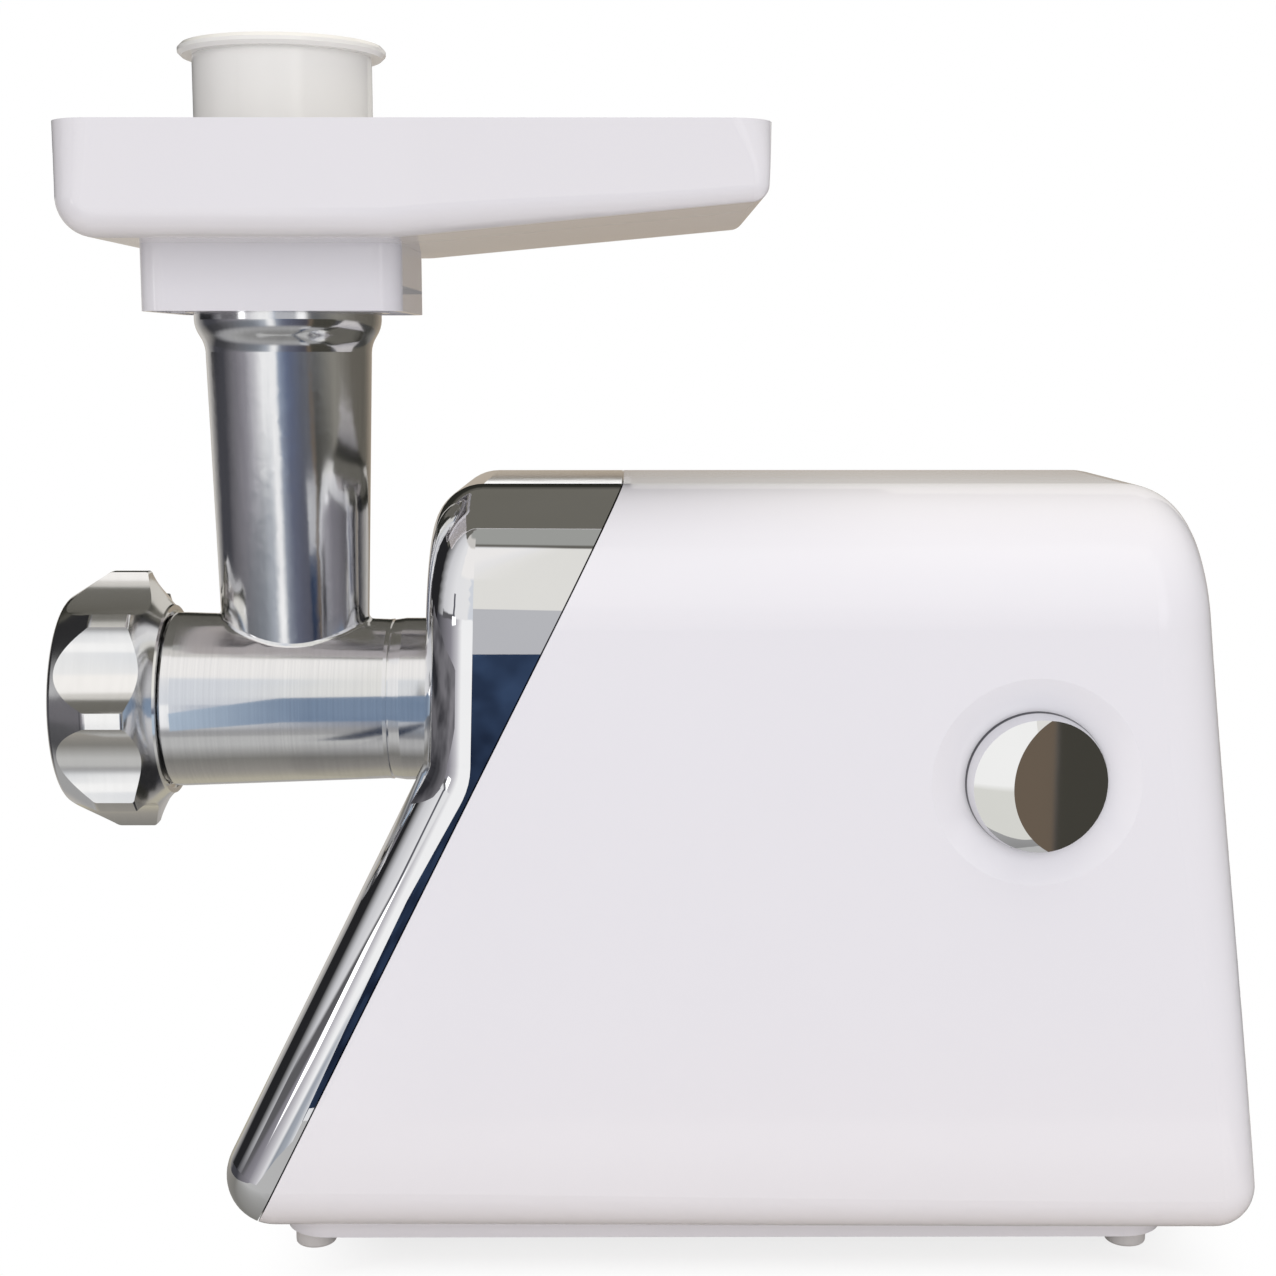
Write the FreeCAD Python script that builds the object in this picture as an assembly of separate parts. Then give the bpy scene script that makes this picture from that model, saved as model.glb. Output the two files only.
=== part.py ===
import FreeCAD, Part
import math
import os

V = FreeCAD.Vector

# An electric meat grinder. Sizes are millimetres: X along the barrel from the ring nut to the back,
# Y across, Z up from the table. X is zero on the feed tube until the finished pieces are moved.

# Fits
SLIDE_GAP = 0.3
RUN_GAP = 0.05
SEAT_GAP = 0.1
WALL = 2.5

# Stand: rubber feet and base plate
FOOT_HEIGHT = 6.3
FOOT_R = 6.35
FOOT_STEM_R = 2.4
FOOT_BULB_R = 3.0
FOOT_BULB_HEIGHT = 1.6
FOOT_SETBACK_FRONT = 8.8
FOOT_SETBACK_REAR = 10.8
FOOT_SETBACK_SIDE = 12.0
BASE_BAND = 6.3
BASE_FLOOR = 2.5
BASE_LEDGE = 3.0
BASE_PLUG = 4.0
BASE_CORNER_R = 14.0
BASE_SETBACK_FRONT = 7.2
BASE_SETBACK_REAR = 25.5
BASE_SETBACK_SIDE = 16.0
BASE_VENT_COUNT = 9
BASE_VENT_LENGTH = 46.0
BASE_VENT_WIDTH = 3.2
BASE_VENT_PITCH = 8.0

# Body shell, upright in front down to a kink and then a leg that slopes forward
BARREL_Z = 166.0
BODY_HALF_WIDTH = 76.0
BODY_TOP_Z = 239.0
ARCH_R = 40.0
FRONT_X = 48.0
FRONT_LEAN = 0.029
KINK_DROP = 9.0
KINK_R = 8.0
LEG_SLOPE = 0.5
TOE_R = 15.5
REAR_X = 286.5
REAR_LEAN = 0.106
HEEL_R = 13.0
FRONT_EDGE_R = 15.0
REAR_EDGE_R = 20.0
HEEL_EDGE_R = 12.0
SEAM_SETBACK = 18.5
SEAM_GAP = 0.4
LIP_DEPTH = 5.0
LIP_WALL = 1.6
BOSS_R = 5.0
BOSS_HEIGHT = 26.0
BOSS_WEB = 3.0
BOSS_SETBACK = 28.0
REAR_VENT_COUNT = 6
REAR_VENT_HALF_WIDTH = 32.0
REAR_VENT_HEIGHT = 3.0
REAR_VENT_PITCH = 7.0
REAR_VENT_Z = 72.0

# Lead inlet
GLAND_Z = 44.0
GLAND_BORE_R = 3.8
GLAND_R = 6.0
GLAND_FLANGE_R = 9.0
GLAND_FLANGE = 2.0
GLAND_PAD = 5.0
GLAND_RECESS = 2.2

# Control knob in its dish
KNOB_FROM_REAR = 57.5
KNOB_DROP = 12.2
KNOB_R = 21.0
KNOB_FACE_R = 19.6
KNOB_SIDE = 7.0
KNOB_DOME_R = 60.0
KNOB_FACET_TILT = 13.8
KNOB_FACET_R = 22.3
KNOB_SOCKET_DEPTH = 6.0
KNOB_TURN = 45.0
SPINDLE_R = 3.0
DISH_R = 31.0
DISH_DEPTH = 4.0
SWITCH_SIDE = 28.0
SWITCH_DEPTH = 20.0

# Grinder head
MOUTH_X = -66.0
BARREL_FRONT_X = -36.0
BARREL_FRONT_R = 28.5
BARREL_REAR_X = 32.0
BARREL_REAR_R = 26.2
BARREL_BORE_R = 22.5
BEAD_WIDTH = 1.2
BEAD_RISE = 0.15
GROOVE_WIDTH = 0.7
GROOVE_DEPTH = 0.7
COLLAR_R = 26.6
COLLAR_RAMP = 3.4
COLLAR_STEP = 0.5
HEAD_END_WALL_X = 34.0
HEAD_END_WALL = 8.0
HEAD_TAIL_BORE_R = 20.0
THREAD_ROOT_R = 27.6
THREAD_CREST_R = 28.8
THREAD_PITCH = 3.0
THREAD_TURNS = 7
THREAD_START = 2.0
THREAD_RUN_OUT = 3.0
TUBE_TOP_Z = 311.5
TUBE_NECK_Z = 279.0
TUBE_NECK_R = 26.35
TUBE_TAPER = 0.0269
TUBE_COLLAR_R = 29.7
TUBE_COLLAR_RISE = 10.0
TUBE_FOOT_HALF_WIDTH = 16.6
TUBE_BORE_R = 22.0
BORE_FOOT_HALF_LENGTH = 21.0
BORE_FOOT_HALF_WIDTH = 13.6
TUBE_COLLAR_WALL = 2.5
TUBE_FILLET_R = 1.6

# Bayonet between head and body
LUG_COUNT = 3
LUG_ARC = 40.0
LUG_REACH = 3.4
LUG_LENGTH = 4.5
BAYONET_TURN = 45.0
SOCKET_SETBACK = 4.5
SOCKET_LENGTH = 14.0
SOCKET_LIP = 6.0
SOCKET_R = 37.0

# Grinding set
PLATE_R = 25.0
PLATE_THICK = 6.0
PLATE_RECESS = 4.0
PLATE_HOLE_R = 2.3
PLATE_HOLE_PITCH = 6.4
PLATE_FIELD_R = 19.0
PLATE_PIN_R = 4.0
KEY_R = 1.5
KEY_LENGTH = 5.0
KNIFE_R = 21.3
KNIFE_THICK = 6.5
KNIFE_BLADE = 9.0
KNIFE_HUB_R = 10.0
KNIFE_SQUARE = 9.0
AUGER_R = 21.9
AUGER_CORE_R = 9.0
AUGER_PITCH = 22.0
AUGER_FLIGHT = 4.0
AUGER_FLANGE = 3.0
SHANK_R = 11.0
TAIL_SQUARE = 10.0
TAIL_REACH = 16.0
WASHER_THICK = 2.0
WASHER_R = 19.0

# Ring nut
NUT_FRONT_X = -73.5
NUT_REAR_X = -40.0
NUT_R = 42.2
NUT_CREST_FRONT = 14.7
NUT_CREST_REAR = 7.0
NUT_FLUTES = 8
NUT_FLUTE_DEPTH = 7.2
NUT_FLUTE_R = 22.0
NUT_MOUTH_R = 21.5
NUT_RIM_R = 31.6
NUT_CHAMFER_R = 34.3
NUT_REAR_R = 30.9
NUT_THREAD_GAP = 0.5
NUT_TURNS = 3

# Tray and its socket
TRAY_RIM = 33.0
TRAY_LEFT_X = -57.0
TRAY_RIGHT_X = 150.5
TRAY_HALF_WIDTH = 70.0
TRAY_DRAFT = 1.2
TRAY_KINK_X = 40.0
TRAY_RISE = 10.4
TRAY_CORNER_R = 13.0
TRAY_LEFT_FLOOR_R = 12.0
TRAY_RIGHT_FLOOR_R = 5.0
TRAY_LEFT_EDGE_R = 10.0
TRAY_LOW_EDGE_R = 8.0
TRAY_RIGHT_EDGE_R = 4.5
TRAY_HOLE_R = 25.5
BOX_HALF_LENGTH = 40.0
BOX_HALF_WIDTH = 36.0
BOX_DEPTH = 20.2
BOX_CORNER_R = 8.0
BOX_RIB = 2.0
TRAY_LIFT = 30.0

# Pusher
PUSHER_TOP_Z = 374.0
PUSHER_FLANGE_R = 32.4
PUSHER_FLANGE = 3.5
PUSHER_R = 28.0
PUSHER_WALL = 2.2
PUSHER_PLAY = 0.6
PUSHER_AUGER_GAP = 4.0
PUSHER_LIFT = 165.0

# Gear train: motor pinion and first gear, second pinion and output gear
PRESSURE_ANGLE = 25.0
BACKLASH = 0.14
FIRST_MODULE = 0.8
FIRST_PINION_TEETH = 12
FIRST_GEAR_TEETH = 72
FIRST_GEAR_WIDTH = 8.0
SECOND_MODULE = 1.1
SECOND_PINION_TEETH = 12
OUTPUT_GEAR_TEETH = 60
OUTPUT_GEAR_WIDTH = 12.0
GEAR_SIDE_GAP = 2.5
FRAME_PLATE = 4.0
FRAME_HALF_WIDTH = 47.0
FRAME_MARGIN = 40.0
FRAME_FOOT = 18.0
POST_R = 5.0
POST_SETBACK = 6.5
OUTPUT_SHAFT_R = 10.0
OUTPUT_TAIL_R = 8.0
LAYSHAFT_R = 4.0
BUSH_WALL = 3.0

# Motor
MOTOR_SHAFT_R = 4.0
BEARING_R = 9.0
BEARING_WIDTH = 6.0
FAN_R = 30.0
FAN_WIDTH = 7.0
FAN_BLADES = 11
FAN_HUB_R = 9.0
FAN_SETBACK = 3.5
STATOR_SETBACK = 21.0
STATOR_LENGTH = 46.0
STATOR_R = 40.0
STATOR_BORE_R = 24.6
POLE_HALF_WIDTH = 24.4
WINDING_R = 33.3
WINDING_BORE_R = 26.0
WINDING_OVERHANG = 8.0
WINDING_SPLIT = 3.0
AIR_GAP = 0.6
ARMATURE_WINDING_R = 20.5
COMMUTATOR_R = 12.0
COMMUTATOR_LENGTH = 14.0
COMMUTATOR_SETBACK = 4.0
BRACKET_SETBACK = 10.0
BRACKET_PLATE = 4.0
TIE_R = 1.5
TIE_SPACER_R = 3.2
BRUSH_SIDE = 6.0
BRUSH_LENGTH = 12.0
BRUSH_HOLDER_WALL = 1.6
BRUSH_HOLDER_LENGTH = 14.0

# Fasteners
SCREW_R = 1.75
SCREW_HEAD_R = 3.4
SCREW_HEAD = 2.0
SCREW_GRIP = 12.0
SOCKET_SCREW_R = 1.5
SOCKET_SCREW_HEAD_R = 2.7

# Places that follow from the sizes above
BASE_TOP_Z = FOOT_HEIGHT + BASE_FLOOR
BODY_BOTTOM_Z = FOOT_HEIGHT + BASE_BAND
KINK_Z = BARREL_Z - KINK_DROP
KINK_X = FRONT_X - KINK_DROP * FRONT_LEAN
SEAM_X = KINK_X + SEAM_SETBACK
KNOB_X = REAR_X - KNOB_FROM_REAR
KNOB_Z = BARREL_Z - KNOB_DROP
SOCKET_X = FRONT_X + SOCKET_SETBACK
FRAME_X = SOCKET_X + SOCKET_LENGTH
GEARS_X = FRAME_X + FRAME_PLATE + GEAR_SIDE_GAP
FIRST_GEAR_X = GEARS_X + OUTPUT_GEAR_WIDTH + 2 * GEAR_SIDE_GAP
FRAME_REAR_X = FIRST_GEAR_X + FIRST_GEAR_WIDTH + GEAR_SIDE_GAP
MOTOR_FACE_X = FRAME_REAR_X + FRAME_PLATE
LAYSHAFT_Z = BARREL_Z - SECOND_MODULE * (SECOND_PINION_TEETH + OUTPUT_GEAR_TEETH) / 2
MOTOR_Z = LAYSHAFT_Z - FIRST_MODULE * (FIRST_PINION_TEETH + FIRST_GEAR_TEETH) / 2
STATOR_X = MOTOR_FACE_X + STATOR_SETBACK
STATOR_END_X = STATOR_X + STATOR_LENGTH
WINDING_X = STATOR_X - WINDING_OVERHANG
WINDING_END_X = STATOR_END_X + WINDING_OVERHANG
COMMUTATOR_X = WINDING_END_X + COMMUTATOR_SETBACK
BRACKET_X = COMMUTATOR_X + COMMUTATOR_LENGTH + BRACKET_SETBACK
TIE_Y = (WINDING_R + SLIDE_GAP + STATOR_R) / 2 + 0.6
PLATE_REAR_X = MOUTH_X + PLATE_RECESS
PLATE_FRONT_X = PLATE_REAR_X - PLATE_THICK
KNIFE_X = PLATE_REAR_X + SLIDE_GAP
AUGER_X = KNIFE_X + KNIFE_THICK
HEAD_TAIL_X = FRAME_X - SLIDE_GAP * 3
TRAY_FLOOR_Z = TUBE_TOP_Z + WALL
TRAY_RIM_Z = TUBE_TOP_Z + TRAY_RIM
PUSHER_PLUNGER_R = TUBE_BORE_R - PUSHER_PLAY
PUSHER_TIP_Z = BARREL_Z + AUGER_R + PUSHER_AUGER_GAP
BORE_FOOT = (BARREL_Z, BORE_FOOT_HALF_LENGTH, BORE_FOOT_HALF_WIDTH)
BORE_NECK = (TUBE_NECK_Z, TUBE_BORE_R, TUBE_BORE_R)
KNOB_FLOOR = DISH_DEPTH * (1 - (KNOB_R / DISH_R) ** 2) - SLIDE_GAP
KNOB_APEX = KNOB_SIDE + KNOB_DOME_R - math.sqrt(KNOB_DOME_R ** 2 - KNOB_FACE_R ** 2)
KNOB_CREST_TURN = math.asin(KNOB_FACET_R / KNOB_DOME_R) - math.radians(KNOB_FACET_TILT)
KNOB_CREST = KNOB_APEX - KNOB_DOME_R * (1 - math.cos(KNOB_CREST_TURN))
KNOB_PROUD = KNOB_CREST - KNOB_FLOOR


# Basic solids
def box(x0, x1, y0, y1, z0, z1):
    return Part.makeBox(x1 - x0, y1 - y0, z1 - z0, V(x0, y0, z0))


def rod_x(x0, x1, radius, z=BARREL_Z, y=0.0):
    return Part.makeCylinder(radius, x1 - x0, V(x0, y, z), V(1, 0, 0))


def rod_y(y0, y1, radius, x, z):
    return Part.makeCylinder(radius, y1 - y0, V(x, y0, z), V(0, 1, 0))


def rod_z(z0, z1, radius, x=0.0, y=0.0):
    return Part.makeCylinder(radius, z1 - z0, V(x, y, z0), V(0, 0, 1))


def pipe_x(x0, x1, outer_r, inner_r, z=BARREL_Z, y=0.0):
    return rod_x(x0, x1, outer_r, z, y).cut(rod_x(x0 - 1, x1 + 1, inner_r, z, y))


def join(first, *others):
    shape = first
    for other in others:
        shape = shape.fuse(other)
    return shape.removeSplitter()


# An outline of (along, radius) points; one of four numbers is an arc by way of its first pair
def outline_face(points, place):
    edges = []
    here = points[0]
    for point in points[1:] + [points[0]]:
        end = place(*point[-2:])
        if len(point) == 4:
            edges.append(Part.Arc(place(*here), place(*point[:2]), end).toShape())
        else:
            edges.append(Part.LineSegment(place(*here), end).toShape())
        here = point[-2:]
    return Part.Face(Part.Wire(edges))


def spin_x(points, z=BARREL_Z):
    face = outline_face(points, lambda along, radius: V(along, 0, z + radius))
    return face.revolve(V(0, 0, z), V(1, 0, 0), 360)


def spin_z(points, x=0.0, y=0.0):
    face = outline_face(points, lambda along, radius: V(x + radius, y, along))
    return face.revolve(V(x, y, 0), V(0, 0, 1), 360)


# Upright solid between two ovals, each given as (height, half length, half width)
def oval_taper(low, high):
    rings = []
    for z, half_length, half_width in (low, high):
        if half_length > half_width:
            ring = Part.Ellipse(V(0, 0, z), half_length, half_width)
        else:
            ring = Part.Circle(V(0, 0, z), V(0, 0, 1), half_length)
        rings.append(Part.Wire(ring.toShape()))
    return Part.makeLoft(rings, True, True)


# A closed outline of (a, b, corner radius) points with tangent arcs at its corners
def rounded_face(points, place):
    count = len(points)
    corners = []
    for i in range(count):
        a, b, radius = points[i]
        ends = []
        for near_a, near_b, _ in (points[i - 1], points[(i + 1) % count]):
            length = math.hypot(near_a - a, near_b - b)
            ends.append(((near_a - a) / length, (near_b - b) / length))
        (ua, ub), (va, vb) = ends
        half = math.acos(ua * va + ub * vb) / 2
        reach = radius / math.tan(half)
        depth = (radius / math.sin(half) - radius) / math.hypot(ua + va, ub + vb)
        start = (a + ua * reach, b + ub * reach)
        middle = (a + (ua + va) * depth, b + (ub + vb) * depth)
        corners.append((start, middle, (a + va * reach, b + vb * reach), radius))
    edges = []
    for i, (start, middle, end, radius) in enumerate(corners):
        if radius > 0:
            edges.append(Part.Arc(place(*start), place(*middle), place(*end)).toShape())
        following = corners[(i + 1) % count][0]
        edges.append(Part.LineSegment(place(*end), place(*following)).toShape())
    return Part.Face(Part.Wire(edges))


def rounded_box(x0, x1, half_width, z0, z1, radius):
    corners = [(x0, -half_width), (x1, -half_width), (x1, half_width), (x0, half_width)]
    face = rounded_face([(x, y, radius) for x, y in corners], lambda x, y: V(x, y, z0))
    return face.extrude(V(0, 0, z1 - z0))


# The same outline with every side moved inwards, for a shell's inner face
def inset_outline(points, inset):
    count = len(points)
    moved = []
    for i in range(count):
        (a0, b0, _), (a1, b1, radius), (a2, b2, _) = points[i - 1], points[i], points[(i + 1) % count]
        first = (a1 - a0, b1 - b0)
        second = (a2 - a1, b2 - b1)
        turn = first[0] * second[1] - first[1] * second[0]
        normals = [(-b / math.hypot(a, b), a / math.hypot(a, b)) for a, b in (first, second)]
        (na, nb), (ma, mb) = normals
        near = a1 * na + b1 * nb + inset
        far = a1 * ma + b1 * mb + inset
        cross = na * mb - nb * ma
        bent = 0.0 if radius == 0 else radius - math.copysign(inset, turn)
        moved.append(((near * mb - far * nb) / cross, (na * far - ma * near) / cross, bent))
    return moved


# A screw with a flat head, its head's underside at the given point and its shank along the direction
def screw(x, y, z, direction, shank_r, head_r, head, length):
    seat = V(x, y, z)
    shank = Part.makeCylinder(shank_r, length, seat, direction)
    return shank.fuse(Part.makeCylinder(head_r, head, seat, direction.negative()))


# A gear with involute flanks drawn flat between a few points, and a tooth at the given angle
def gear(module, teeth, x0, x1, z, tooth_angle):
    pressure = math.radians(PRESSURE_ANGLE)
    pitch_r = module * teeth / 2
    base_r = pitch_r * math.cos(pressure)
    root_r = pitch_r - 1.25 * module
    tip_r = pitch_r + module
    lowest = max(root_r, base_r)
    radii = [lowest + (tip_r - lowest) * step / 3 for step in range(4)]
    half_pitch = math.pi / (2 * teeth) - BACKLASH / (4 * pitch_r)
    involute = math.tan(pressure) - pressure
    flank = [(root_r, half_pitch + involute)] if root_r < base_r else []
    for radius in radii:
        roll = math.acos(min(1.0, base_r / radius))
        flank.append((radius, half_pitch + involute - math.tan(roll) + roll))
    tooth = [(radius, -angle) for radius, angle in flank] + list(reversed(flank))
    points = []
    for i in range(teeth):
        middle = math.radians(tooth_angle) + 2 * math.pi * i / teeth
        for radius, angle in tooth:
            points.append(V(x0, radius * math.cos(middle + angle), z + radius * math.sin(middle + angle)))
    points.append(points[0])
    return Part.Face(Part.makePolygon(points)).extrude(V(x1 - x0, 0, 0))


# A helical ridge along X whose section is given as (radius, along) points
def ridge_x(section, pitch, length, x0, z=BARREL_Z):
    helix_r = section[0][0]
    points = [V(radius, 0, along) for radius, along in section]
    path = Part.Wire(Part.makeHelix(pitch, length, helix_r).Edges)
    ridge = path.makePipeShell([Part.makePolygon(points + points[:1])], True, True)
    ridge.rotate(V(0, 0, 0), V(0, 1, 0), 90)
    ridge.translate(V(x0, 0, z))
    return ridge


# The body's side outline from toe to heel, up the back and down the front to the kink
def body_outline():
    above = BODY_TOP_Z + ARCH_R
    toe = (KINK_X - (KINK_Z - BODY_BOTTOM_Z) * LEG_SLOPE, BODY_BOTTOM_Z, TOE_R)
    heel = (REAR_X + (BARREL_Z - BODY_BOTTOM_Z) * REAR_LEAN, BODY_BOTTOM_Z, HEEL_R)
    rear_top = (REAR_X + (BARREL_Z - above) * REAR_LEAN, above, 0.0)
    front_top = (FRONT_X + (above - BARREL_Z) * FRONT_LEAN, above, 0.0)
    return [toe, heel, rear_top, front_top, (KINK_X, KINK_Z, KINK_R)]


def along_arch(face, top_z):
    surface = face.Surface
    if isinstance(surface, Part.Plane):
        flat_top = abs(surface.Axis.z) > 0.99 and abs(face.CenterOfMass.z - top_z) < 0.01
        return flat_top or abs(surface.Axis.y) > 0.99
    return abs(surface.Axis.x) > 0.99


# Rounds numbered edges, each with a radius at its first and its last end
def filleted(shape, radii):
    document = FreeCAD.newDocument("blank")
    blank = document.addObject("Part::Feature", "blank")
    blank.Shape = shape
    rounded = document.addObject("Part::Fillet", "rounded")
    rounded.Base = blank
    rounded.Edges = radii
    document.recompute()
    result = rounded.Shape.copy()
    FreeCAD.closeDocument(document.Name)
    return result


def body_edge_r(point):
    if point.x < KNOB_X:
        return FRONT_EDGE_R
    return REAR_EDGE_R if point.z > MOTOR_Z else HEEL_EDGE_R


# The whole body as a loaf: an arched section along X, cut by the side outline and rounded at the cut
def body_solid(inset):
    far = 4 * BODY_HALF_WIDTH
    side = rounded_face(inset_outline(body_outline(), inset), lambda x, z: V(x, -far, z))
    half = BODY_HALF_WIDTH - inset
    top_z = BODY_TOP_Z - inset
    arch_r = ARCH_R - inset
    arch = [(-half, -far, 0.0), (half, -far, 0.0), (half, top_z, arch_r), (-half, top_z, arch_r)]
    loaf = rounded_face(arch, lambda y, z: V(-far, y, z)).extrude(V(REAR_X + 3 * far, 0, 0))
    loaf = loaf.common(side.extrude(V(0, 2 * far, 0))).removeSplitter()
    radii = []
    for number, edge in enumerate(loaf.Edges, start=1):
        owners = [along_arch(face, top_z) for face in loaf.ancestorsOfType(edge, Part.Face)]
        if sorted(owners) == [False, True]:
            ends = [body_edge_r(end.Point) - inset for end in edge.Vertexes]
            radii.append((number, ends[0], ends[-1]))
    return filleted(loaf, radii)


# Everything behind the slanted seam plane, set back square to the plane by the given distance
def behind_seam(setback):
    far = 4 * BODY_HALF_WIDTH
    shift = setback * math.hypot(1, LEG_SLOPE)
    low_x = SEAM_X + shift - (KINK_Z + far) * LEG_SLOPE
    high_x = SEAM_X + shift + far * LEG_SLOPE
    rear = REAR_X + far
    corners = [V(low_x, -far, -far), V(rear, -far, -far), V(rear, -far, KINK_Z + far)]
    corners.append(V(high_x, -far, KINK_Z + far))
    return Part.Face(Part.makePolygon(corners + corners[:1])).extrude(V(0, 2 * far, 0))


# Base plate places
SEAM_FLOOR_X = SEAM_X - (KINK_Z - BODY_BOTTOM_Z) * LEG_SLOPE
BASE_X = SEAM_FLOOR_X + BASE_SETBACK_FRONT
BASE_END_X = REAR_X + (BARREL_Z - BODY_BOTTOM_Z) * REAR_LEAN - BASE_SETBACK_REAR
BASE_HALF_WIDTH = BODY_HALF_WIDTH - BASE_SETBACK_SIDE
FOOT_Y = BASE_HALF_WIDTH - FOOT_SETBACK_SIDE
FOOT_XS = (BASE_X + FOOT_SETBACK_FRONT, BASE_END_X - FOOT_SETBACK_REAR)
BOSS_XS = (BASE_X + BOSS_SETBACK, BASE_END_X - BOSS_SETBACK)
BOSS_BOTTOM_Z = BODY_BOTTOM_Z + BASE_PLUG
FRAME_SCREW_Y = FRAME_HALF_WIDTH - 2 * SCREW_HEAD_R
FRAME_SCREW_X = FRAME_X - FRAME_FOOT / 2
BRACKET_SCREW_X = BRACKET_X + BRACKET_PLATE + FRAME_FOOT / 2


def mirrored(places_x, y):
    return [(x, side * y) for x in places_x for side in (-1, 1)]


def housing():
    shell = body_solid(0).common(behind_seam(SEAM_GAP / 2)).cut(body_solid(WALL))
    inside = body_solid(WALL / 2)
    for x, y in mirrored(BOSS_XS, FOOT_Y):
        boss = rod_z(BOSS_BOTTOM_Z, BOSS_BOTTOM_Z + BOSS_HEIGHT, BOSS_R, x, y)
        wall_y = math.copysign(BODY_HALF_WIDTH, y)
        web = box(x - BOSS_WEB / 2, x + BOSS_WEB / 2, min(y, wall_y), max(y, wall_y),
                  BOSS_BOTTOM_Z + SLIDE_GAP, BOSS_BOTTOM_Z + BOSS_HEIGHT)
        shell = shell.fuse(boss.fuse(web).common(inside))
        shell = shell.cut(rod_z(BOSS_BOTTOM_Z - 1, BOSS_BOTTOM_Z + SCREW_GRIP + SLIDE_GAP,
                                SCREW_R + RUN_GAP, x, y))
    ledge = BASE_LEDGE - SLIDE_GAP
    shell = shell.cut(rounded_box(BASE_X + ledge, BASE_END_X - ledge, BASE_HALF_WIDTH - ledge,
                                  BODY_BOTTOM_Z - 1, BODY_BOTTOM_Z + WALL + 1, BASE_CORNER_R - ledge))
    cup_y = -(BODY_HALF_WIDTH - WALL - DISH_DEPTH)
    cup = rod_y(-BODY_HALF_WIDTH, cup_y, DISH_R + WALL, KNOB_X, KNOB_Z)
    shell = shell.fuse(cup)
    ball_r = (DISH_R ** 2 + DISH_DEPTH ** 2) / (2 * DISH_DEPTH)
    ball_y = -(BODY_HALF_WIDTH - DISH_DEPTH) - ball_r
    shell = shell.cut(Part.makeSphere(ball_r, V(KNOB_X, ball_y, KNOB_Z)))
    shell = shell.cut(rod_y(-BODY_HALF_WIDTH, cup_y + 1, SPINDLE_R + SLIDE_GAP, KNOB_X, KNOB_Z))
    pad = rod_x(GLAND_SEAT_X - GLAND_PAD, GLAND_SEAT_X + GLAND_PAD, GLAND_FLANGE_R + WALL, GLAND_Z)
    shell = shell.fuse(pad.common(inside))
    shell = shell.cut(rod_x(GLAND_SEAT_X, REAR_X + DISH_R, GLAND_FLANGE_R + SEAT_GAP, GLAND_Z))
    shell = shell.cut(rod_x(GLAND_SEAT_X - 2 * GLAND_PAD, GLAND_SEAT_X + 1, GLAND_R + SEAT_GAP, GLAND_Z))
    for i in range(REAR_VENT_COUNT):
        z = REAR_VENT_Z + i * REAR_VENT_PITCH
        shell = shell.cut(box(REAR_X - WALL, REAR_X + DISH_R, -REAR_VENT_HALF_WIDTH, REAR_VENT_HALF_WIDTH,
                              z, z + REAR_VENT_HEIGHT))
    return shell.removeSplitter()


def front_fascia():
    shell = body_solid(0).cut(behind_seam(-SEAM_GAP / 2)).cut(body_solid(WALL))
    inner = body_solid(WALL + SLIDE_GAP + LIP_WALL)
    root = behind_seam(-LIP_DEPTH).cut(behind_seam(-SEAM_GAP / 2))
    tongue = behind_seam(-LIP_DEPTH).cut(behind_seam(LIP_DEPTH))
    shell = shell.fuse(body_solid(WALL / 2).common(root).cut(inner))
    shell = shell.fuse(body_solid(WALL + SLIDE_GAP).common(tongue).cut(inner))
    return shell.cut(rod_x(0, FRAME_X, COLLAR_R + SEAT_GAP + SLIDE_GAP)).removeSplitter()


def base_plate():
    plug = BASE_LEDGE
    cavity = BASE_LEDGE + WALL
    plate = rounded_box(BASE_X, BASE_END_X, BASE_HALF_WIDTH, FOOT_HEIGHT, BODY_BOTTOM_Z, BASE_CORNER_R)
    plate = plate.fuse(rounded_box(BASE_X + plug, BASE_END_X - plug, BASE_HALF_WIDTH - plug,
                                   FOOT_HEIGHT, BOSS_BOTTOM_Z, BASE_CORNER_R - plug))
    plate = plate.cut(rounded_box(BASE_X + cavity, BASE_END_X - cavity, BASE_HALF_WIDTH - cavity,
                                  BASE_TOP_Z, BOSS_BOTTOM_Z + 1, BASE_CORNER_R - cavity))
    for x, y in mirrored(BOSS_XS, FOOT_Y):
        plate = plate.fuse(rod_z(FOOT_HEIGHT, BOSS_BOTTOM_Z, BOSS_R, x, y))
        plate = plate.cut(rod_z(0, BOSS_BOTTOM_Z + 1, SCREW_R + SEAT_GAP, x, y))
        plate = plate.cut(rod_z(0, FOOT_HEIGHT + SCREW_HEAD + SEAT_GAP, SCREW_HEAD_R + SEAT_GAP, x, y))
    for x, y in mirrored(FOOT_XS, FOOT_Y):
        plate = plate.cut(rod_z(0, BASE_TOP_Z + 1, FOOT_STEM_R + RUN_GAP, x, y))
    for x, y in mirrored((FRAME_SCREW_X, BRACKET_SCREW_X), FRAME_SCREW_Y):
        plate = plate.cut(rod_z(0, BASE_TOP_Z + 1, SCREW_R + SEAT_GAP, x, y))
    middle_x = (MOTOR_FACE_X + BRACKET_X) / 2
    for i in range(BASE_VENT_COUNT):
        x = middle_x + (i - (BASE_VENT_COUNT - 1) / 2) * BASE_VENT_PITCH - BASE_VENT_WIDTH / 2
        plate = plate.cut(box(x, x + BASE_VENT_WIDTH, -BASE_VENT_LENGTH / 2, BASE_VENT_LENGTH / 2,
                              0, BASE_TOP_Z + 1))
    return plate.removeSplitter()


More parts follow.
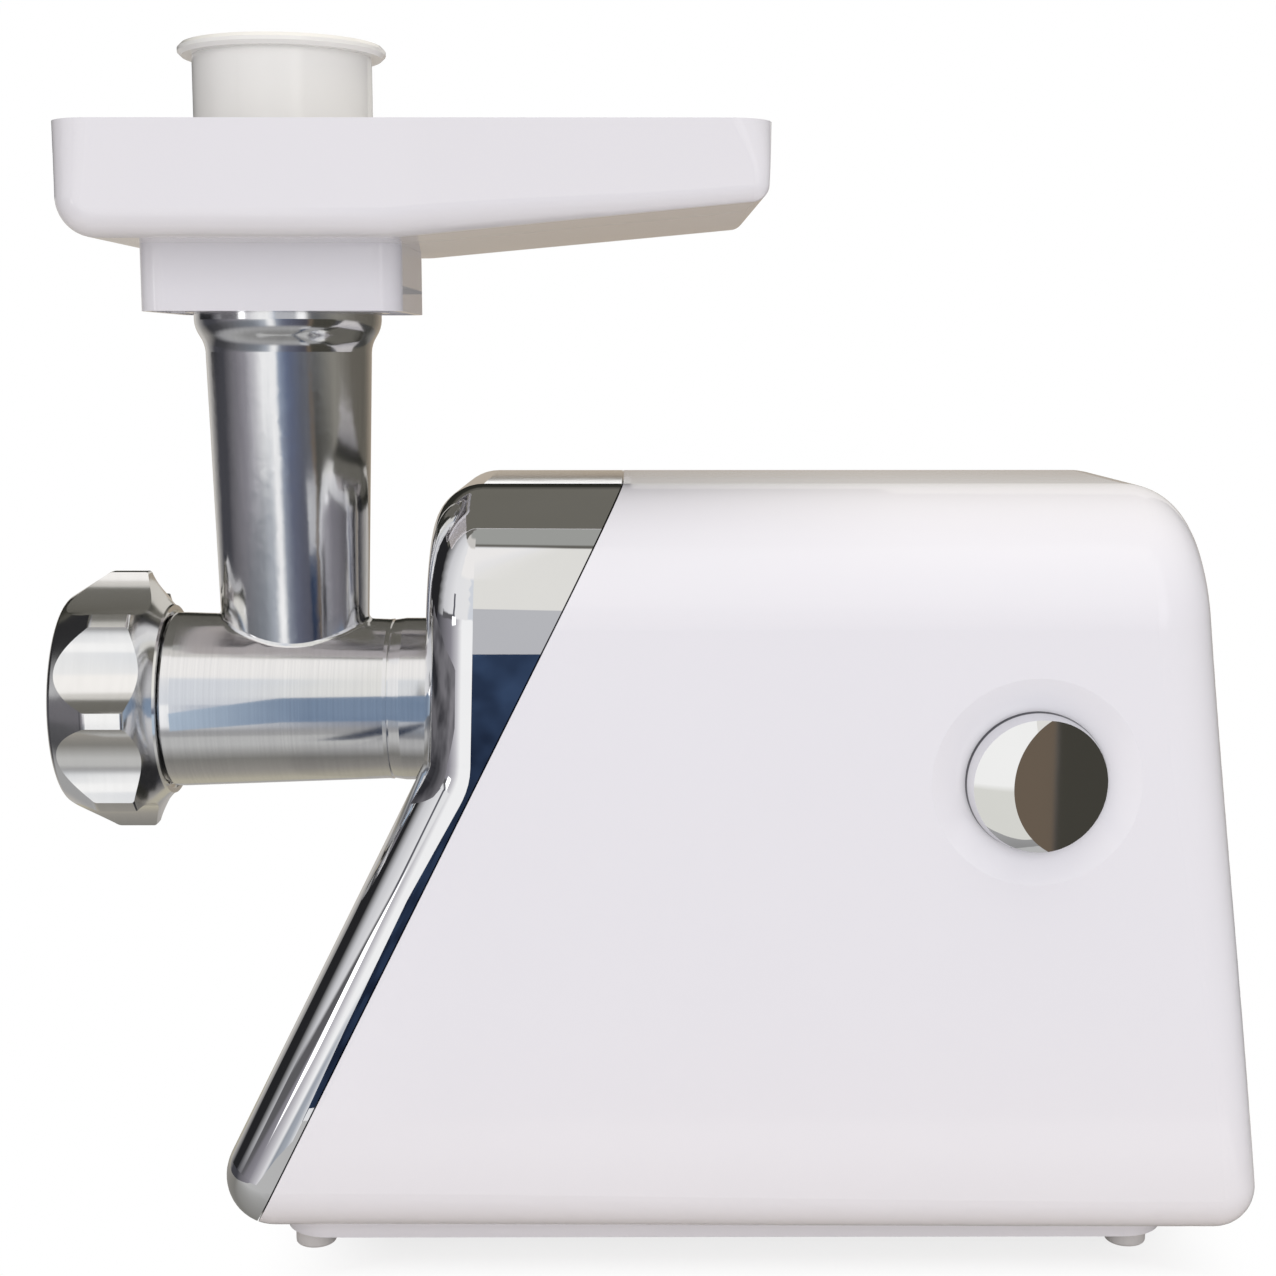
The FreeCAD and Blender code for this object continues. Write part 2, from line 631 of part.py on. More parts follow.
def rubber_feet():
    edge = 1.0
    bulb_z = BASE_TOP_Z + SEAT_GAP
    outline = [(0.0, 0.0), (0.0, FOOT_R - edge), (edge * 0.3, FOOT_R - edge * 0.3, edge, FOOT_R),
               (FOOT_HEIGHT, FOOT_R), (FOOT_HEIGHT, FOOT_STEM_R), (bulb_z, FOOT_STEM_R),
               (bulb_z, FOOT_BULB_R), (bulb_z + FOOT_BULB_HEIGHT, FOOT_STEM_R),
               (bulb_z + FOOT_BULB_HEIGHT, 0.0)]
    return [spin_z(outline, x, y) for x, y in mirrored(FOOT_XS, FOOT_Y)]


def base_screws():
    seat_z = FOOT_HEIGHT + SCREW_HEAD + SEAT_GAP
    length = BOSS_BOTTOM_Z + SCREW_GRIP - seat_z
    return [screw(x, y, seat_z, V(0, 0, 1), SCREW_R, SCREW_HEAD_R, SCREW_HEAD, length)
            for x, y in mirrored(BOSS_XS, FOOT_Y)]


def frame_screws():
    length = BASE_FLOOR + FRAME_PLATE
    return [screw(x, y, FOOT_HEIGHT, V(0, 0, 1), SCREW_R, SCREW_HEAD_R, SCREW_HEAD, length)
            for x, y in mirrored((FRAME_SCREW_X, BRACKET_SCREW_X), FRAME_SCREW_Y)]


GLAND_SEAT_X = REAR_X + (BARREL_Z - GLAND_Z - GLAND_FLANGE_R) * REAR_LEAN - GLAND_RECESS


def cord_gland():
    outline = [(GLAND_SEAT_X - GLAND_PAD - 2 * GLAND_FLANGE, GLAND_BORE_R),
               (GLAND_SEAT_X + GLAND_FLANGE, GLAND_BORE_R),
               (GLAND_SEAT_X + GLAND_FLANGE, GLAND_FLANGE_R - 1),
               (GLAND_SEAT_X + GLAND_FLANGE - 1, GLAND_FLANGE_R),
               (GLAND_SEAT_X, GLAND_FLANGE_R), (GLAND_SEAT_X, GLAND_R),
               (GLAND_SEAT_X - GLAND_PAD - SEAT_GAP, GLAND_R),
               (GLAND_SEAT_X - GLAND_PAD - SEAT_GAP, GLAND_R + 1.5),
               (GLAND_SEAT_X - GLAND_PAD - 2 * GLAND_FLANGE, GLAND_R - 0.5)]
    return spin_x(outline, GLAND_Z)


# Knob outline grows outwards from its floor, towards -Y
def switch_knob():
    bend_r = KNOB_FACE_R / 2
    bend = KNOB_APEX - KNOB_DOME_R + math.sqrt(KNOB_DOME_R ** 2 - bend_r ** 2)
    outline = [(0.0, KNOB_R), (KNOB_SIDE, KNOB_FACE_R), (bend, bend_r, KNOB_APEX, 0.0),
               (KNOB_SOCKET_DEPTH, 0.0), (KNOB_SOCKET_DEPTH, SPINDLE_R + RUN_GAP),
               (0.0, SPINDLE_R + RUN_GAP)]
    floor_y = -(BODY_HALF_WIDTH - KNOB_FLOOR)
    face = outline_face(outline, lambda along, radius: V(KNOB_X + radius, floor_y - along, KNOB_Z))
    knob = face.revolve(V(KNOB_X, 0, KNOB_Z), V(0, 1, 0), 360)
    ball_y = floor_y - KNOB_APEX + KNOB_DOME_R
    reach = math.sqrt(KNOB_DOME_R ** 2 - KNOB_FACET_R ** 2)
    side = 3 * KNOB_R
    cutter = Part.makeBox(2 * side, side, 2 * side, V(-side, -reach - side, -side))
    cutter.rotate(V(0, 0, 0), V(0, 0, 1), KNOB_FACET_TILT)
    cutter.translate(V(KNOB_X, ball_y, KNOB_Z))
    return knob.cut(cutter)


SWITCH_Y = -(BODY_HALF_WIDTH - WALL - DISH_DEPTH)


def knob_spindle():
    floor_y = -(BODY_HALF_WIDTH - KNOB_FLOOR)
    return rod_y(floor_y - KNOB_SOCKET_DEPTH + SLIDE_GAP, SWITCH_Y + SWITCH_DEPTH / 2, SPINDLE_R, KNOB_X,
                 KNOB_Z)


def rotary_switch():
    half = SWITCH_SIDE / 2
    body = box(KNOB_X - half, KNOB_X + half, SWITCH_Y, SWITCH_Y + SWITCH_DEPTH, KNOB_Z - half,
               KNOB_Z + half)
    body = body.cut(rod_y(SWITCH_Y - 1, SWITCH_Y + SWITCH_DEPTH / 2 + SLIDE_GAP, SPINDLE_R + RUN_GAP,
                          KNOB_X, KNOB_Z))
    tab = 3.0
    for i in (-1, 0, 1):
        x = KNOB_X + i * half / 1.5
        body = body.fuse(box(x - tab, x + tab, SWITCH_Y + SWITCH_DEPTH, SWITCH_Y + SWITCH_DEPTH + 2 * tab,
                             KNOB_Z - 0.4, KNOB_Z + 0.4))
    return body


# Feed tube radius at a height on its tapered length
def tube_r(z):
    return TUBE_NECK_R - (TUBE_NECK_Z - z) * TUBE_TAPER


def lug_sectors(reach_r, x0, x1, centre_angle, arc):
    solids = []
    for i in range(LUG_COUNT):
        start = centre_angle + 360.0 * i / LUG_COUNT - arc / 2
        wedge = Part.makeCylinder(reach_r, x1 - x0, V(x0, 0, BARREL_Z), V(1, 0, 0), arc)
        wedge.rotate(V(0, 0, BARREL_Z), V(1, 0, 0), start - wedge_start())
        solids.append(wedge)
    return solids


# Angle about X, from +Y towards +Z, at which a sector cylinder begins
def wedge_start():
    probe = Part.makeCylinder(1, 1, V(0, 0, 0), V(1, 0, 0), 2)
    centre = probe.CenterOfMass
    return math.degrees(math.atan2(centre.z, centre.y)) - 1


def grinder_head():
    thread_end = MOUTH_X + THREAD_START + THREAD_TURNS * THREAD_PITCH + THREAD_RUN_OUT
    outer = [(MOUTH_X, 0.0), (MOUTH_X, THREAD_ROOT_R - 0.6), (MOUTH_X + 0.6, THREAD_ROOT_R),
             (thread_end, THREAD_ROOT_R), (thread_end + 1, BARREL_FRONT_R),
             (BARREL_FRONT_X, BARREL_FRONT_R),
             (BARREL_REAR_X - BEAD_WIDTH, BARREL_REAR_R), (BARREL_REAR_X, BARREL_REAR_R + BEAD_RISE),
             (BARREL_REAR_X, BARREL_REAR_R - GROOVE_DEPTH),
             (BARREL_REAR_X + GROOVE_WIDTH, BARREL_REAR_R - GROOVE_DEPTH),
             (BARREL_REAR_X + GROOVE_WIDTH, COLLAR_R - COLLAR_STEP),
             (BARREL_REAR_X + GROOVE_WIDTH + COLLAR_RAMP, COLLAR_R), (HEAD_TAIL_X, COLLAR_R),
             (HEAD_TAIL_X, 0.0)]
    barrel = spin_x(outer)
    rise_z = TUBE_NECK_Z + TUBE_COLLAR_RISE
    step = TUBE_COLLAR_R - TUBE_NECK_R
    middle = (TUBE_NECK_Z + TUBE_COLLAR_RISE / 2, TUBE_NECK_R + step / 2)
    low_bend = (TUBE_NECK_Z + TUBE_COLLAR_RISE * 0.27, TUBE_NECK_R + step * 0.16)
    high_bend = (TUBE_NECK_Z + TUBE_COLLAR_RISE * 0.73, TUBE_NECK_R + step * 0.84)
    tube = spin_z([(TUBE_NECK_Z, 0.0), (TUBE_NECK_Z, TUBE_NECK_R), low_bend + middle,
                   high_bend + (rise_z, TUBE_COLLAR_R), (TUBE_TOP_Z - 0.6, TUBE_COLLAR_R),
                   (TUBE_TOP_Z, TUBE_COLLAR_R - 0.6), (TUBE_TOP_Z, 0.0)])
    foot = oval_taper((BARREL_Z, tube_r(BARREL_Z), TUBE_FOOT_HALF_WIDTH),
                      (TUBE_NECK_Z, TUBE_NECK_R, TUBE_NECK_R))
    head = barrel.fuse(foot).fuse(tube)
    seam = []
    for edge in head.Edges:
        owners = [face.Surface for face in head.ancestorsOfType(edge, Part.Face)]
        cones = [surface for surface in owners if isinstance(surface, Part.Cone)]
        if len(owners) == 2 and len(cones) == 1 and abs(cones[0].Axis.x) > 0.5:
            if isinstance(owners[0], Part.BSplineSurface) or isinstance(owners[1], Part.BSplineSurface):
                seam.append(edge)
    head = head.makeFillet(TUBE_FILLET_R, seam)
    flare_r = TUBE_COLLAR_R - TUBE_COLLAR_WALL
    head = head.cut(oval_taper(BORE_FOOT, BORE_NECK))
    head = head.cut(spin_z([(TUBE_NECK_Z, 0.0), (TUBE_NECK_Z, TUBE_BORE_R),
                            (rise_z, flare_r), (TUBE_TOP_Z + 1, flare_r), (TUBE_TOP_Z + 1, 0.0)]))
    head = head.cut(rod_x(MOUTH_X - 1, HEAD_END_WALL_X, BARREL_BORE_R))
    head = head.cut(rod_x(MOUTH_X - 1, PLATE_REAR_X, PLATE_R + SLIDE_GAP))
    head = head.cut(rod_x(MOUTH_X - 1, MOUTH_X + KEY_LENGTH, KEY_R + RUN_GAP, BARREL_Z + PLATE_R))
    head = head.cut(rod_x(HEAD_END_WALL_X - 1, HEAD_TAIL_X, SHANK_R + RUN_GAP))
    head = head.cut(rod_x(HEAD_END_WALL_X + HEAD_END_WALL, HEAD_TAIL_X + 1, HEAD_TAIL_BORE_R))
    lug_x = SOCKET_X + SOCKET_LIP + SLIDE_GAP
    ring = pipe_x(lug_x, lug_x + LUG_LENGTH, COLLAR_R + LUG_REACH, COLLAR_R - 1)
    for sector in lug_sectors(COLLAR_R + 2 * LUG_REACH, lug_x, lug_x + LUG_LENGTH, 90.0, LUG_ARC):
        head = head.fuse(ring.common(sector))
    section = [(THREAD_ROOT_R - 0.5, -0.85), (THREAD_CREST_R, -0.4), (THREAD_CREST_R, 0.4),
               (THREAD_ROOT_R - 0.5, 0.85)]
    thread = ridge_x(section, THREAD_PITCH, THREAD_TURNS * THREAD_PITCH, MOUTH_X + THREAD_START)
    return head.removeSplitter().fuse(thread)


def plate_key():
    return rod_x(MOUTH_X + SEAT_GAP, MOUTH_X + KEY_LENGTH, KEY_R, BARREL_Z + PLATE_R)


def head_socket():
    lug_r = COLLAR_R + LUG_REACH + SLIDE_GAP
    lip_end = SOCKET_X + SOCKET_LIP
    ring = pipe_x(SOCKET_X, FRAME_X, SOCKET_R, lug_r)
    ring = ring.fuse(pipe_x(SOCKET_X, lip_end, SOCKET_R - 1, COLLAR_R + SLIDE_GAP))
    for sector in lug_sectors(lug_r, SOCKET_X - 1, lip_end + 1, 90.0 + BAYONET_TURN, LUG_ARC + 4):
        ring = ring.cut(sector)
    for y, z in socket_screw_places():
        ring = ring.cut(rod_x(SOCKET_X - 1, FRAME_X + 1, SOCKET_SCREW_R + SEAT_GAP, z, y))
        ring = ring.cut(rod_x(SOCKET_X - 1, SOCKET_X + SCREW_HEAD, SOCKET_SCREW_HEAD_R + SEAT_GAP, z, y))
    return ring.removeSplitter()


def socket_screw_places():
    radius = (COLLAR_R + LUG_REACH + SLIDE_GAP + SOCKET_R) / 2
    angles = [math.radians(45 + 90 * i) for i in range(4)]
    return [(radius * math.cos(angle), BARREL_Z + radius * math.sin(angle)) for angle in angles]


def socket_screws():
    length = FRAME_X + FRAME_PLATE - SOCKET_X - SCREW_HEAD
    return [screw(SOCKET_X + SCREW_HEAD, y, z, V(1, 0, 0), SOCKET_SCREW_R, SOCKET_SCREW_HEAD_R,
                  SCREW_HEAD, length)
            for y, z in socket_screw_places()]


def cutting_plate():
    plate = rod_x(PLATE_FRONT_X, PLATE_REAR_X, PLATE_R)
    rows = int(PLATE_FIELD_R / PLATE_HOLE_PITCH) + 1
    for row in range(-rows, rows + 1):
        for column in range(-rows - 1, rows + 2):
            y = (column + row / 2) * PLATE_HOLE_PITCH
            z = row * PLATE_HOLE_PITCH * math.sqrt(0.75)
            if PLATE_PIN_R + PLATE_HOLE_R < math.hypot(y, z) - 1 and math.hypot(y, z) < PLATE_FIELD_R:
                hole = rod_x(PLATE_FRONT_X - 1, PLATE_REAR_X + 1, PLATE_HOLE_R, BARREL_Z + z, y)
                plate = plate.cut(hole)
    plate = plate.cut(rod_x(PLATE_FRONT_X - 1, PLATE_REAR_X + 1, PLATE_PIN_R + RUN_GAP))
    plate = plate.cut(rod_x(PLATE_FRONT_X - 1, PLATE_REAR_X + 1, KEY_R + SLIDE_GAP, BARREL_Z + PLATE_R))
    return plate


def ring_nut():
    crest_front = NUT_FRONT_X + NUT_CREST_FRONT
    crest_rear = NUT_REAR_X - NUT_CREST_REAR
    bore_r = THREAD_CREST_R + NUT_THREAD_GAP
    outline = [(NUT_FRONT_X, NUT_MOUTH_R), (NUT_FRONT_X, NUT_RIM_R),
               (NUT_FRONT_X + 0.4, NUT_RIM_R + 1.4, NUT_FRONT_X + 1.6, NUT_CHAMFER_R),
               (crest_front - 2, NUT_R - 0.9), (crest_front - 1, NUT_R - 0.25, crest_front, NUT_R),
               (crest_rear - 1, NUT_R), (crest_rear - 0.3, NUT_R - 0.3, crest_rear, NUT_R - 1),
               (crest_rear + 2.4, NUT_REAR_R + 4.6, NUT_REAR_X - 0.8, NUT_REAR_R + 0.2),
               (NUT_REAR_X, NUT_REAR_R), (NUT_REAR_X, bore_r)]
    seat_x = MOUTH_X - SLIDE_GAP
    lip_x = PLATE_FRONT_X - SEAT_GAP
    outline += [(seat_x, bore_r), (seat_x, PLATE_R + SLIDE_GAP), (lip_x, PLATE_R + SLIDE_GAP),
                (lip_x, NUT_MOUTH_R)]
    nut = spin_x(outline)
    flute_at = NUT_R - NUT_FLUTE_DEPTH + NUT_FLUTE_R
    for i in range(NUT_FLUTES):
        angle = math.radians(360.0 * (i + 0.5) / NUT_FLUTES)
        z = BARREL_Z + flute_at * math.sin(angle)
        nut = nut.cut(rod_x(NUT_FRONT_X - 1, NUT_REAR_X + 1, NUT_FLUTE_R, z, flute_at * math.cos(angle)))
    section = [(bore_r + 0.5, -0.85), (bore_r - 1.2, -0.4), (bore_r - 1.2, 0.4), (bore_r + 0.5, 0.85)]
    start = MOUTH_X + THREAD_START + 1.5 * THREAD_PITCH
    return nut.fuse(ridge_x(section, THREAD_PITCH, (THREAD_TURNS - 1) * THREAD_PITCH, start))


def knife():
    blades = rod_x(KNIFE_X, AUGER_X, KNIFE_HUB_R)
    half = KNIFE_BLADE / 2
    for angle in (0, 90):
        blade = box(KNIFE_X, AUGER_X, -KNIFE_R, KNIFE_R, BARREL_Z - half, BARREL_Z + half)
        blade = blade.common(rod_x(KNIFE_X, AUGER_X, KNIFE_R))
        blade.rotate(V(0, 0, BARREL_Z), V(1, 0, 0), angle)
        blades = blades.fuse(blade)
    hole = KNIFE_SQUARE / 2 + SEAT_GAP
    return blades.cut(box(KNIFE_X - 1, AUGER_X + 1, -hole, hole, BARREL_Z - hole,
                          BARREL_Z + hole)).removeSplitter()


def auger():
    flange_end = HEAD_END_WALL_X - WASHER_THICK - SLIDE_GAP
    flange_x = flange_end - AUGER_FLANGE
    square = KNIFE_SQUARE / 2
    tail = TAIL_SQUARE / 2
    core = rod_x(AUGER_X, flange_end, AUGER_CORE_R)
    core = core.fuse(rod_x(flange_x, flange_end, WASHER_R))
    core = core.fuse(rod_x(flange_end, OUTPUT_FRONT_X - SLIDE_GAP, SHANK_R))
    core = core.fuse(box(OUTPUT_FRONT_X - SLIDE_GAP, OUTPUT_FRONT_X + TAIL_REACH - 1, -tail, tail,
                         BARREL_Z - tail, BARREL_Z + tail))
    core = core.fuse(box(KNIFE_X, AUGER_X, -square, square, BARREL_Z - square, BARREL_Z + square))
    core = core.fuse(rod_x(PLATE_FRONT_X + 1, KNIFE_X, PLATE_PIN_R))
    half = AUGER_FLIGHT / 2
    section = [(AUGER_CORE_R - 2, -half), (AUGER_R, -half * 0.6), (AUGER_R, half * 0.6),
               (AUGER_CORE_R - 2, half)]
    length = flange_x - AUGER_X - 2 * AUGER_FLIGHT
    return core.fuse(ridge_x(section, AUGER_PITCH, length, AUGER_X + AUGER_FLIGHT)).removeSplitter()


def thrust_washer():
    return pipe_x(HEAD_END_WALL_X - WASHER_THICK - SEAT_GAP, HEAD_END_WALL_X - SEAT_GAP, WASHER_R,
                  SHANK_R + SEAT_GAP)


OUTPUT_FRONT_X = SOCKET_X + SOCKET_LIP


def output_shaft():
    step_x = GEARS_X + OUTPUT_GEAR_WIDTH + GEAR_SIDE_GAP / 2
    shaft = rod_x(OUTPUT_FRONT_X, step_x, OUTPUT_SHAFT_R)
    shaft = shaft.fuse(rod_x(step_x, MOTOR_FACE_X, OUTPUT_TAIL_R))
    half = TAIL_SQUARE / 2 + SEAT_GAP
    return shaft.cut(box(OUTPUT_FRONT_X - 1, OUTPUT_FRONT_X + TAIL_REACH, -half, half,
                         BARREL_Z - half, BARREL_Z + half)).removeSplitter()


def output_gear():
    wheel = gear(SECOND_MODULE, OUTPUT_GEAR_TEETH, GEARS_X, GEARS_X + OUTPUT_GEAR_WIDTH, BARREL_Z, -90)
    return wheel.cut(rod_x(GEARS_X - 1, GEARS_X + OUTPUT_GEAR_WIDTH + 1, OUTPUT_SHAFT_R + RUN_GAP))


def layshaft_pinion():
    half_tooth = 180.0 / SECOND_PINION_TEETH
    end_x = FIRST_GEAR_X - SEAT_GAP
    pinion = gear(SECOND_MODULE, SECOND_PINION_TEETH, GEARS_X, end_x, LAYSHAFT_Z, 90 + half_tooth)
    return pinion.cut(rod_x(GEARS_X - 1, end_x + 1, LAYSHAFT_R + RUN_GAP, LAYSHAFT_Z))


def first_gear():
    end_x = FIRST_GEAR_X + FIRST_GEAR_WIDTH
    wheel = gear(FIRST_MODULE, FIRST_GEAR_TEETH, FIRST_GEAR_X, end_x, LAYSHAFT_Z, -90)
    return wheel.cut(rod_x(FIRST_GEAR_X - 1, end_x + 1, LAYSHAFT_R + RUN_GAP, LAYSHAFT_Z))


def layshaft():
    return rod_x(FRAME_X, MOTOR_FACE_X, LAYSHAFT_R, LAYSHAFT_Z)


def motor_pinion():
    half_tooth = 180.0 / FIRST_PINION_TEETH
    end_x = FIRST_GEAR_X + FIRST_GEAR_WIDTH + 1
    pinion = gear(FIRST_MODULE, FIRST_PINION_TEETH, FIRST_GEAR_X - 1, end_x, MOTOR_Z, 90 + half_tooth)
    return pinion.cut(rod_x(FIRST_GEAR_X - 2, end_x + 1, PINION_BORE_R + RUN_GAP, MOTOR_Z))


PINION_BORE_R = FIRST_MODULE * (FIRST_PINION_TEETH / 2 - 1.25) - 1.2


def motor_shaft():
    thin_end = FRAME_REAR_X - SEAT_GAP
    thin = rod_x(FIRST_GEAR_X - 1, thin_end, PINION_BORE_R, MOTOR_Z)
    return thin.fuse(rod_x(thin_end, BRACKET_X + BRACKET_PLATE + BEARING_WIDTH, MOTOR_SHAFT_R,
                           MOTOR_Z)).removeSplitter()


def armature_core():
    core = rod_x(STATOR_X, STATOR_END_X, STATOR_BORE_R - AIR_GAP, MOTOR_Z)
    slots = 12
    depth = 5.0
    width = 2.4
    for i in range(slots):
        slot = box(STATOR_X - 1, STATOR_END_X + 1, -width / 2, width / 2,
                   MOTOR_Z + STATOR_BORE_R - AIR_GAP - depth, MOTOR_Z + STATOR_BORE_R)
        slot.rotate(V(0, 0, MOTOR_Z), V(1, 0, 0), 360.0 * i / slots)
        core = core.cut(slot)
    return core.cut(rod_x(STATOR_X - 1, STATOR_END_X + 1, MOTOR_SHAFT_R + RUN_GAP, MOTOR_Z))


def armature_windings():
    bore_r = MOTOR_SHAFT_R + RUN_GAP
    edge = 3.0
    solids = []
    for inner_x, outer_x in ((STATOR_X, WINDING_X), (STATOR_END_X, WINDING_END_X)):
        bend = math.copysign(edge, outer_x - inner_x)
        outline = [(inner_x, bore_r), (inner_x, ARMATURE_WINDING_R - edge),
                   (inner_x + bend, ARMATURE_WINDING_R),
                   (outer_x - bend, ARMATURE_WINDING_R), (outer_x, ARMATURE_WINDING_R - edge),
                   (outer_x, bore_r)]
        solids.append(spin_x(outline, MOTOR_Z))
    return solids


def commutator():
    drum = pipe_x(WINDING_END_X, COMMUTATOR_X + COMMUTATOR_LENGTH, COMMUTATOR_R, MOTOR_SHAFT_R + RUN_GAP,
                  MOTOR_Z)
    bars = 12
    groove = 0.6
    for i in range(bars):
        cut = box(COMMUTATOR_X, COMMUTATOR_X + COMMUTATOR_LENGTH + 1, -groove / 2, groove / 2,
                  MOTOR_Z + COMMUTATOR_R - groove, MOTOR_Z + COMMUTATOR_R + 1)
        cut.rotate(V(0, 0, MOTOR_Z), V(1, 0, 0), 360.0 * i / bars)
        drum = drum.cut(cut)
    return drum


def cooling_fan():
    fan_x = MOTOR_FACE_X + FAN_SETBACK
    blade = 1.6
    disc = 1.6
    fan = rod_x(fan_x, fan_x + disc, FAN_R, MOTOR_Z)
    fan = fan.fuse(rod_x(fan_x, fan_x + FAN_WIDTH, FAN_HUB_R, MOTOR_Z))
    for i in range(FAN_BLADES):
        vane = box(fan_x, fan_x + FAN_WIDTH, -blade / 2, blade / 2, MOTOR_Z + FAN_HUB_R - 1,
                   MOTOR_Z + FAN_R - 1)
        vane.rotate(V(0, 0, MOTOR_Z + FAN_HUB_R), V(1, 0, 0), 20)
        vane.rotate(V(0, 0, MOTOR_Z), V(1, 0, 0), 360.0 * i / FAN_BLADES)
        fan = fan.fuse(vane)
    return fan.cut(rod_x(fan_x - 1, fan_x + FAN_WIDTH + 1, MOTOR_SHAFT_R + RUN_GAP,
                         MOTOR_Z)).removeSplitter()


def winding_ring(x0, x1, gap):
    return pipe_x(x0, x1, WINDING_R + gap, WINDING_BORE_R - gap, MOTOR_Z)


def motor_stator():
    core = pipe_x(STATOR_X, STATOR_END_X, STATOR_R, STATOR_BORE_R, MOTOR_Z)
    windows = winding_ring(STATOR_X - 1, STATOR_END_X + 1, SLIDE_GAP)
    pole = box(STATOR_X - 2, STATOR_END_X + 2, -POLE_HALF_WIDTH, POLE_HALF_WIDTH, MOTOR_Z - STATOR_R,
               MOTOR_Z + STATOR_R)
    core = core.cut(windows.cut(pole))
    for y in (-TIE_Y, TIE_Y):
        core = core.cut(rod_x(STATOR_X - 1, STATOR_END_X + 1, TIE_R + SEAT_GAP, MOTOR_Z, y))
    return core


def field_windings():
    ring = winding_ring(WINDING_X, WINDING_END_X, 0.0)
    half = POLE_HALF_WIDTH + SLIDE_GAP
    pole = box(STATOR_X - SEAT_GAP, STATOR_END_X + SEAT_GAP, -half, half, MOTOR_Z - STATOR_R,
               MOTOR_Z + STATOR_R)
    ring = ring.cut(pole)
    far = 2 * STATOR_R
    upper = box(0, far * 4, -far, far, MOTOR_Z + WINDING_SPLIT, MOTOR_Z + far)
    lower = box(0, far * 4, -far, far, MOTOR_Z - far, MOTOR_Z - WINDING_SPLIT)
    return [ring.common(upper), ring.common(lower)]


def frame_post_places():
    y = FRAME_HALF_WIDTH - POST_SETBACK
    top_z = BARREL_Z + FRAME_MARGIN - POST_SETBACK
    return [(side * y, z) for side in (-1, 1) for z in (MOTOR_Z, top_z)]


def gearbox_front():
    top_z = BARREL_Z + FRAME_MARGIN
    end_x = FRAME_X + FRAME_PLATE
    plate = box(FRAME_X, end_x, -FRAME_HALF_WIDTH, FRAME_HALF_WIDTH, BASE_TOP_Z, top_z)
    plate = plate.fuse(box(FRAME_X - FRAME_FOOT, end_x, -FRAME_HALF_WIDTH, FRAME_HALF_WIDTH,
                           BASE_TOP_Z, BASE_TOP_Z + FRAME_PLATE))
    plate = plate.cut(rod_x(FRAME_X - 1, end_x + 1, OUTPUT_SHAFT_R + BUSH_WALL + SEAT_GAP))
    plate = plate.cut(rod_x(FRAME_X - 1, end_x + 1, LAYSHAFT_R + BUSH_WALL + SEAT_GAP, LAYSHAFT_Z))
    for y, z in socket_screw_places():
        plate = plate.cut(rod_x(FRAME_X - 1, end_x + 1, SOCKET_SCREW_R + RUN_GAP, z, y))
    for y, z in frame_post_places():
        plate = plate.cut(rod_x(FRAME_X - 1, end_x + 1, SCREW_R + SEAT_GAP, z, y))
    for side in (-1, 1):
        plate = plate.cut(rod_z(0, BASE_TOP_Z + FRAME_PLATE + 1, SCREW_R + RUN_GAP, FRAME_SCREW_X,
                                side * FRAME_SCREW_Y))
    return plate.removeSplitter()


def gearbox_rear():
    top_z = BARREL_Z + FRAME_MARGIN
    plate = box(FRAME_REAR_X, MOTOR_FACE_X, -FRAME_HALF_WIDTH, FRAME_HALF_WIDTH, MOTOR_Z - FRAME_MARGIN,
                top_z)
    for y, z in frame_post_places():
        plate = plate.fuse(rod_x(FRAME_X + FRAME_PLATE, FRAME_REAR_X, POST_R, z, y))
        plate = plate.cut(rod_x(FRAME_X, FRAME_X + FRAME_PLATE + SCREW_GRIP + SLIDE_GAP,
                                SCREW_R + RUN_GAP, z, y))
    for y in (-TIE_Y, TIE_Y):
        plate = plate.fuse(rod_x(MOTOR_FACE_X, STATOR_X, TIE_SPACER_R, MOTOR_Z, y))
        plate = plate.cut(rod_x(FRAME_REAR_X - 1, STATOR_X + 1, TIE_R + RUN_GAP, MOTOR_Z, y))
    plate = plate.cut(rod_x(FRAME_REAR_X - 1, MOTOR_FACE_X + 1, OUTPUT_TAIL_R + BUSH_WALL + SEAT_GAP))
    plate = plate.cut(rod_x(FRAME_REAR_X - 1, MOTOR_FACE_X + 1, LAYSHAFT_R + BUSH_WALL + SEAT_GAP,
                            LAYSHAFT_Z))
    plate = plate.cut(rod_x(FRAME_REAR_X - 1, MOTOR_FACE_X + 1, BEARING_R + SEAT_GAP, MOTOR_Z))
    return plate.removeSplitter()


def gearbox_screws():
    length = FRAME_PLATE + SCREW_GRIP
    return [screw(FRAME_X, y, z, V(1, 0, 0), SCREW_R, SCREW_HEAD_R, SCREW_HEAD, length)
            for y, z in frame_post_places()]


def output_bushes():
    front = pipe_x(FRAME_X, FRAME_X + FRAME_PLATE, OUTPUT_SHAFT_R + BUSH_WALL, OUTPUT_SHAFT_R + RUN_GAP)
    rear = pipe_x(FRAME_REAR_X, MOTOR_FACE_X, OUTPUT_TAIL_R + BUSH_WALL, OUTPUT_TAIL_R + RUN_GAP)
    return [front, rear]


def layshaft_bushes():
    outer_r = LAYSHAFT_R + BUSH_WALL
    return [pipe_x(x, x + FRAME_PLATE, outer_r, LAYSHAFT_R + RUN_GAP, LAYSHAFT_Z)
            for x in (FRAME_X, FRAME_REAR_X)]


def motor_bearings():
    places = ((FRAME_REAR_X, MOTOR_FACE_X), (BRACKET_X, BRACKET_X + BRACKET_PLATE))
    return [pipe_x(x0, x1, BEARING_R, MOTOR_SHAFT_R + RUN_GAP, MOTOR_Z) for x0, x1 in places]


